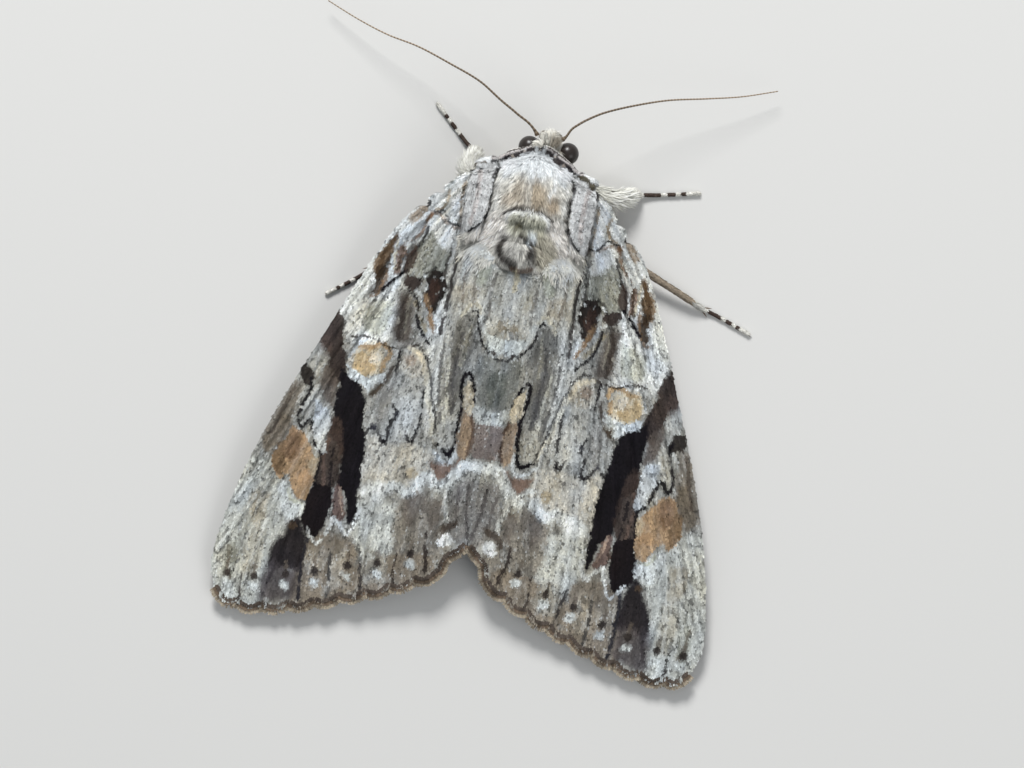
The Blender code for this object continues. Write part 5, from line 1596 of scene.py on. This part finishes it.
def tube_coat(name, path, radii, count, length, width, colours_at, finish, slot, random, lift,
              shape="scale"):
    """Scales or hairs on a tube round a path, pointing to its end.

    length and colours_at take shares of the path. width and lift are ranges.
    """
    share = np.sort(random.random(count))
    knots = np.linspace(0, 1, len(path))

    def along_path(values):
        return np.column_stack([np.interp(share, knots, values[:, axis]) for axis in range(3)])

    centre = along_path(path)
    ahead = unit(along_path(np.gradient(path, axis=0)))
    left = unit(np.cross([0.0, 0.0, 1.0], ahead))
    angle = random.random(count) * 2 * np.pi
    up = left * np.cos(angle)[:, None] + np.cross(ahead, left) * np.sin(angle)[:, None]
    roots = centre + up * np.interp(share, knots, radii)[:, None]
    colours = colours_at(share) * uneven(random, count, 0.16)
    reach = length(share) * dice(random, count, 0.75, 1.25)
    tilt = dice(random, count, *lift)
    wide = dice(random, count, *width)
    bend = 0.2 if shape == "hair" else 0.1
    end = roots[:, 2] + reach * (up[:, 2] * np.sin(tilt) + ahead[:, 2] * np.cos(tilt) - bend)
    keep = (end > FLOOR_GAP) & (roots[:, 2] > FLOOR_GAP)
    ahead = strayed(ahead, up, 0.15, random)
    spots = np.column_stack([share, angle / (2 * np.pi)])
    coat(name, shape, roots[keep], ahead[keep], up[keep], reach[keep], wide[keep],
         root_to_tip(colours[keep], 0.8, 1.1), spots[keep], finish, slot, lift=tilt[keep], bend=bend)


def make_palps(skin, fur):
    """Two short upturned feelers below the brow, thick with scales."""
    random = np.random.default_rng(PALP_SEED)
    share = np.linspace(0, 1, 40)
    radii = smooth(PALP_RADII, share)
    dark, pale = linear((150, 142, 128)), linear((204, 198, 184))

    def tone(where):
        return dark + noise(np.column_stack([where * 6, where]), 1.0, 5)[:, None] * (pale - dark)

    def length(where):
        return 0.4 - 0.14 * where

    for side, word in SIDES:
        path = mirrored(on_curve(PALP, share), side) + [HEAD_MIDDLE, 0, 0]
        points, faces = sweep(path, radii, 14)
        palp = add_piece(f"palp_{word}_skin", points, faces, np.tile(dark, (len(points), 1)))
        dress(palp, skin, "pale_fur", f"palp_{word}")
        tube_coat(f"palp_{word}_scales", path, radii, PALP_SCALES, length, (0.08, 0.14), tone, fur,
                  "pale_fur", random, lift=(0.15, 0.65))


def leg_colours(name, foot_start):
    """Colours along a leg from shares of its length."""
    thigh = linear((224, 223, 214)) if "front" in name else linear((168, 160, 146))
    shin = linear((232, 231, 223)) if "front" in name else linear((142, 130, 114))
    dark, ring = linear((72, 60, 54)), linear((216, 214, 206))

    def colours(share):
        result = np.where((share < foot_start * 0.6)[:, None], thigh, shin)
        band = ((share > foot_start - 0.06) & (share < foot_start))[:, None]
        result = np.where(band, ring * 0.8, result)
        foot = (share - foot_start) / (1 - foot_start)
        result = np.where((foot > 0)[:, None], dark, result)
        for low, high in FOOT_RINGS:
            result = np.where(((foot > low) & (foot < high))[:, None], ring, result)
        return result

    return colours


def spur(root, ahead, length, radius):
    """A spine, as a closed cone."""
    path = root + np.outer(np.linspace(0, 1, 5), ahead) * length
    return sweep(path, radius * np.array([1, 0.9, 0.7, 0.45, 0.08]), 8)


def leg_spines(name, path, share, foot_start):
    """The spurs of the shin, in pairs, and the two claws."""
    at = [foot_start * 0.985] if "front" not in name else []
    if "hind" in name:
        at.append(foot_start * 0.86)
    shapes = []
    for where in at:
        i = int(np.searchsorted(share, where))
        ahead = unit(path[i + 1] - path[i])
        left = unit(np.cross([0, 0, 1.0], ahead))
        for lean in (-1, 1):
            shapes.append(spur(path[i] - ahead * 0.1, unit(ahead + 0.45 * lean * left), 1.1, 0.1))
    ahead = unit(path[-1] - path[-4])
    left = unit(np.cross([0, 0, 1.0], ahead))
    for lean in (-1, 1):
        claw = unit(ahead + 0.6 * lean * left - [0, 0, 0.25])
        shapes.append(spur(path[-1] - ahead * 0.05, claw, 0.26, 0.045))
    return shapes


def leg_tube(knots, foot, side):
    """A leg's path, its radii, how feathery it is along it and where its foot starts."""
    share = np.linspace(0, 1, 160)
    steps = np.linalg.norm(np.diff(knots[:, :3], axis=0), axis=1)
    reach = np.concatenate([[0], np.cumsum(steps)])
    reach /= reach[-1]
    foot_start = reach[foot]
    bulk = np.interp(share, reach, knots[:, 3])
    feathery = np.clip((bulk - FOOT_REACH) / 0.6, 0, 1)
    radii = np.where(share < foot_start, 0.2 + 0.32 * feathery, FOOT_RADIUS)
    foot_share = (share - foot_start) / (1 - foot_start)
    for _, high in FOOT_RINGS[1:]:
        radii = radii - 0.035 * bell(foot_share - high - 0.01, 0.012)
    radii[-1] = 0.05
    path = mirrored(on_curve(knots[:, :3], share), side)
    path[:, 2] = np.maximum(path[:, 2] - 0.03, radii + 0.04)
    return share, path, radii, feathery, foot_start


def make_legs(skin, scales, fur, horn):
    """Six legs with their scales, spurs and claws, the front ones with long hair as well."""
    random = np.random.default_rng(LEG_SEED)
    for name, (side, foot, knots) in LEGS.items():
        share, path, radii, feathery, foot_start = leg_tube(np.array(knots, float), foot, side)
        colours_at = leg_colours(name, foot_start)
        points, faces = sweep(path, radii, LEG_SIDES)
        colours = np.repeat(colours_at(share), LEG_SIDES, axis=0) * 0.8
        leg = add_piece(name + "_skin", points, faces, colours)
        dress(leg, skin, "leg_scales", name)
        spines, spine_faces = join(leg_spines(name, path, share, foot_start))
        horns = add_piece(name + "_spines", spines, spine_faces,
                          np.tile(linear((112, 94, 78)), (len(spines), 1)))
        dress(horns, horn, "leg_scales")

        def short(where):
            return np.interp(where, share, np.where(share < foot_start, 0.34, 0.2))

        tube_coat(name + "_scales", path, radii, LEG_SCALES, short, (0.09, 0.15), colours_at, scales,
                  "leg_scales", random, lift=(0.06, 0.25))
        if "front" in name:
            fluff = np.where(share < foot_start, 0.3 + 0.75 * feathery, 0.2)
            make_plume(name, path, radii, share, fluff, foot_start, colours_at, fur, random)


def make_plume(name, path, radii, share, fluff, foot_start, colours_at, fur, random):
    """Long hair on a front leg from its hip to its foot. fluff is its length along the leg."""
    cut = int(np.searchsorted(share, foot_start))
    upper = foot_start * 0.99

    def colours(where):
        return colours_at(where * upper)

    def length(where):
        return np.interp(where * upper, share, fluff) * (0.35 + 0.65 * ramp(where, 0.25, 0.5))

    tube_coat(name + "_plume", path[:cut], radii[:cut], PLUME_HAIRS, length, (0.07, 0.13), colours,
              fur, "leg_scales", random, lift=(0.25, 0.85), shape="hair")


def main():
    """Builds the moth and the stage."""
    skin = material("wing_skin", 0.75, grain=0.3, grain_size=0.11, bump=0.5)
    scales = material("wing_scales", 0.62, grain=0.12, grain_size=0.05, bump=0.15)
    body = material("body_skin", 0.85, grain=0.3, grain_size=0.1, bump=0.6)
    fur = material("fur", 0.7, grain=0.12, grain_size=0.06, bump=0.1, sheen=0.15)
    horn = material("antenna_horn", 0.5, grain=0.2, grain_size=0.1, bump=0.3)
    gloss = material("eye", 0.3, grain_size=0.05, bump=0.12, tints=((34, 29, 27), (50, 43, 39)),
                     gloss=0.4)
    for side, word in SIDES:
        make_forewing(side, word, scales, skin)
        make_hindwing(side, word, skin, scales)
    points, quads = make_body_skin(body)
    make_fur(points, quads, fur)
    make_eyes(gloss)
    make_palps(body, fur)
    make_antennae(horn)
    make_legs(body, scales, fur, horn)
    make_stage()


# ---------------------------------------------------------------- camera, light and floor

CAMERA_AIM = (1.26, 21.85, 3.5)     # the point in the middle of the picture
CAMERA_HEIGHT = 503.0
CAMERA_TURN = math.radians(10.45)   # how far the moth leans in the picture
LENS, SENSOR = 200.0, 36.0
FLOOR_REACH = 1.5                   # metres


def add_light(name, place, size, watts):
    """A soft round light that shines at the middle of the floor."""
    data = bpy.data.lights.new(name, "AREA")
    data.shape = "DISK"
    data.size = size
    data.energy = watts
    lamp = bpy.data.objects.new(name, data)
    bpy.context.scene.collection.objects.link(lamp)
    lamp.location = place
    lamp.rotation_euler = Vector(place).to_track_quat("Z", "Y").to_euler()


def make_camera(scene):
    """A camera that looks straight down, as the photo does."""
    data = bpy.data.cameras.new("camera")
    data.lens, data.sensor_width = LENS, SENSOR
    data.clip_start = 0.01
    camera = bpy.data.objects.new("camera", data)
    scene.collection.objects.link(camera)
    aim = metres(np.array(CAMERA_AIM) * [-1, 1, 1])
    camera.location = (aim[0], aim[1], aim[2] + CAMERA_HEIGHT * MM)
    camera.rotation_euler = (0, 0, math.pi + CAMERA_TURN)
    scene.camera = camera


def make_stage():
    """The camera, the lights and the floor."""
    scene = bpy.context.scene
    make_camera(scene)
    add_light("key", (0.14, -0.46, 0.36), 0.2, 3.8)
    add_light("fill", (-0.35, 0.25, 0.4), 0.4, 0.8)
    world = bpy.data.worlds.new("studio")
    world.use_nodes = True
    sky = world.node_tree.nodes["Background"]
    sky.inputs["Color"].default_value = (0.9, 0.95, 1.0, 1)
    sky.inputs["Strength"].default_value = 0.36
    scene.world = world
    scene.view_settings.view_transform = "Standard"

    reach = FLOOR_REACH
    mesh = bpy.data.meshes.new("floor")
    mesh.from_pydata([(-reach, -reach, 0), (reach, -reach, 0), (reach, reach, 0),
                      (-reach, reach, 0)], [], [(0, 1, 2, 3)])
    floor = bpy.data.objects.new("floor", mesh)
    scene.collection.objects.link(floor)
    floor.data.materials.append(plain_paper())


main()
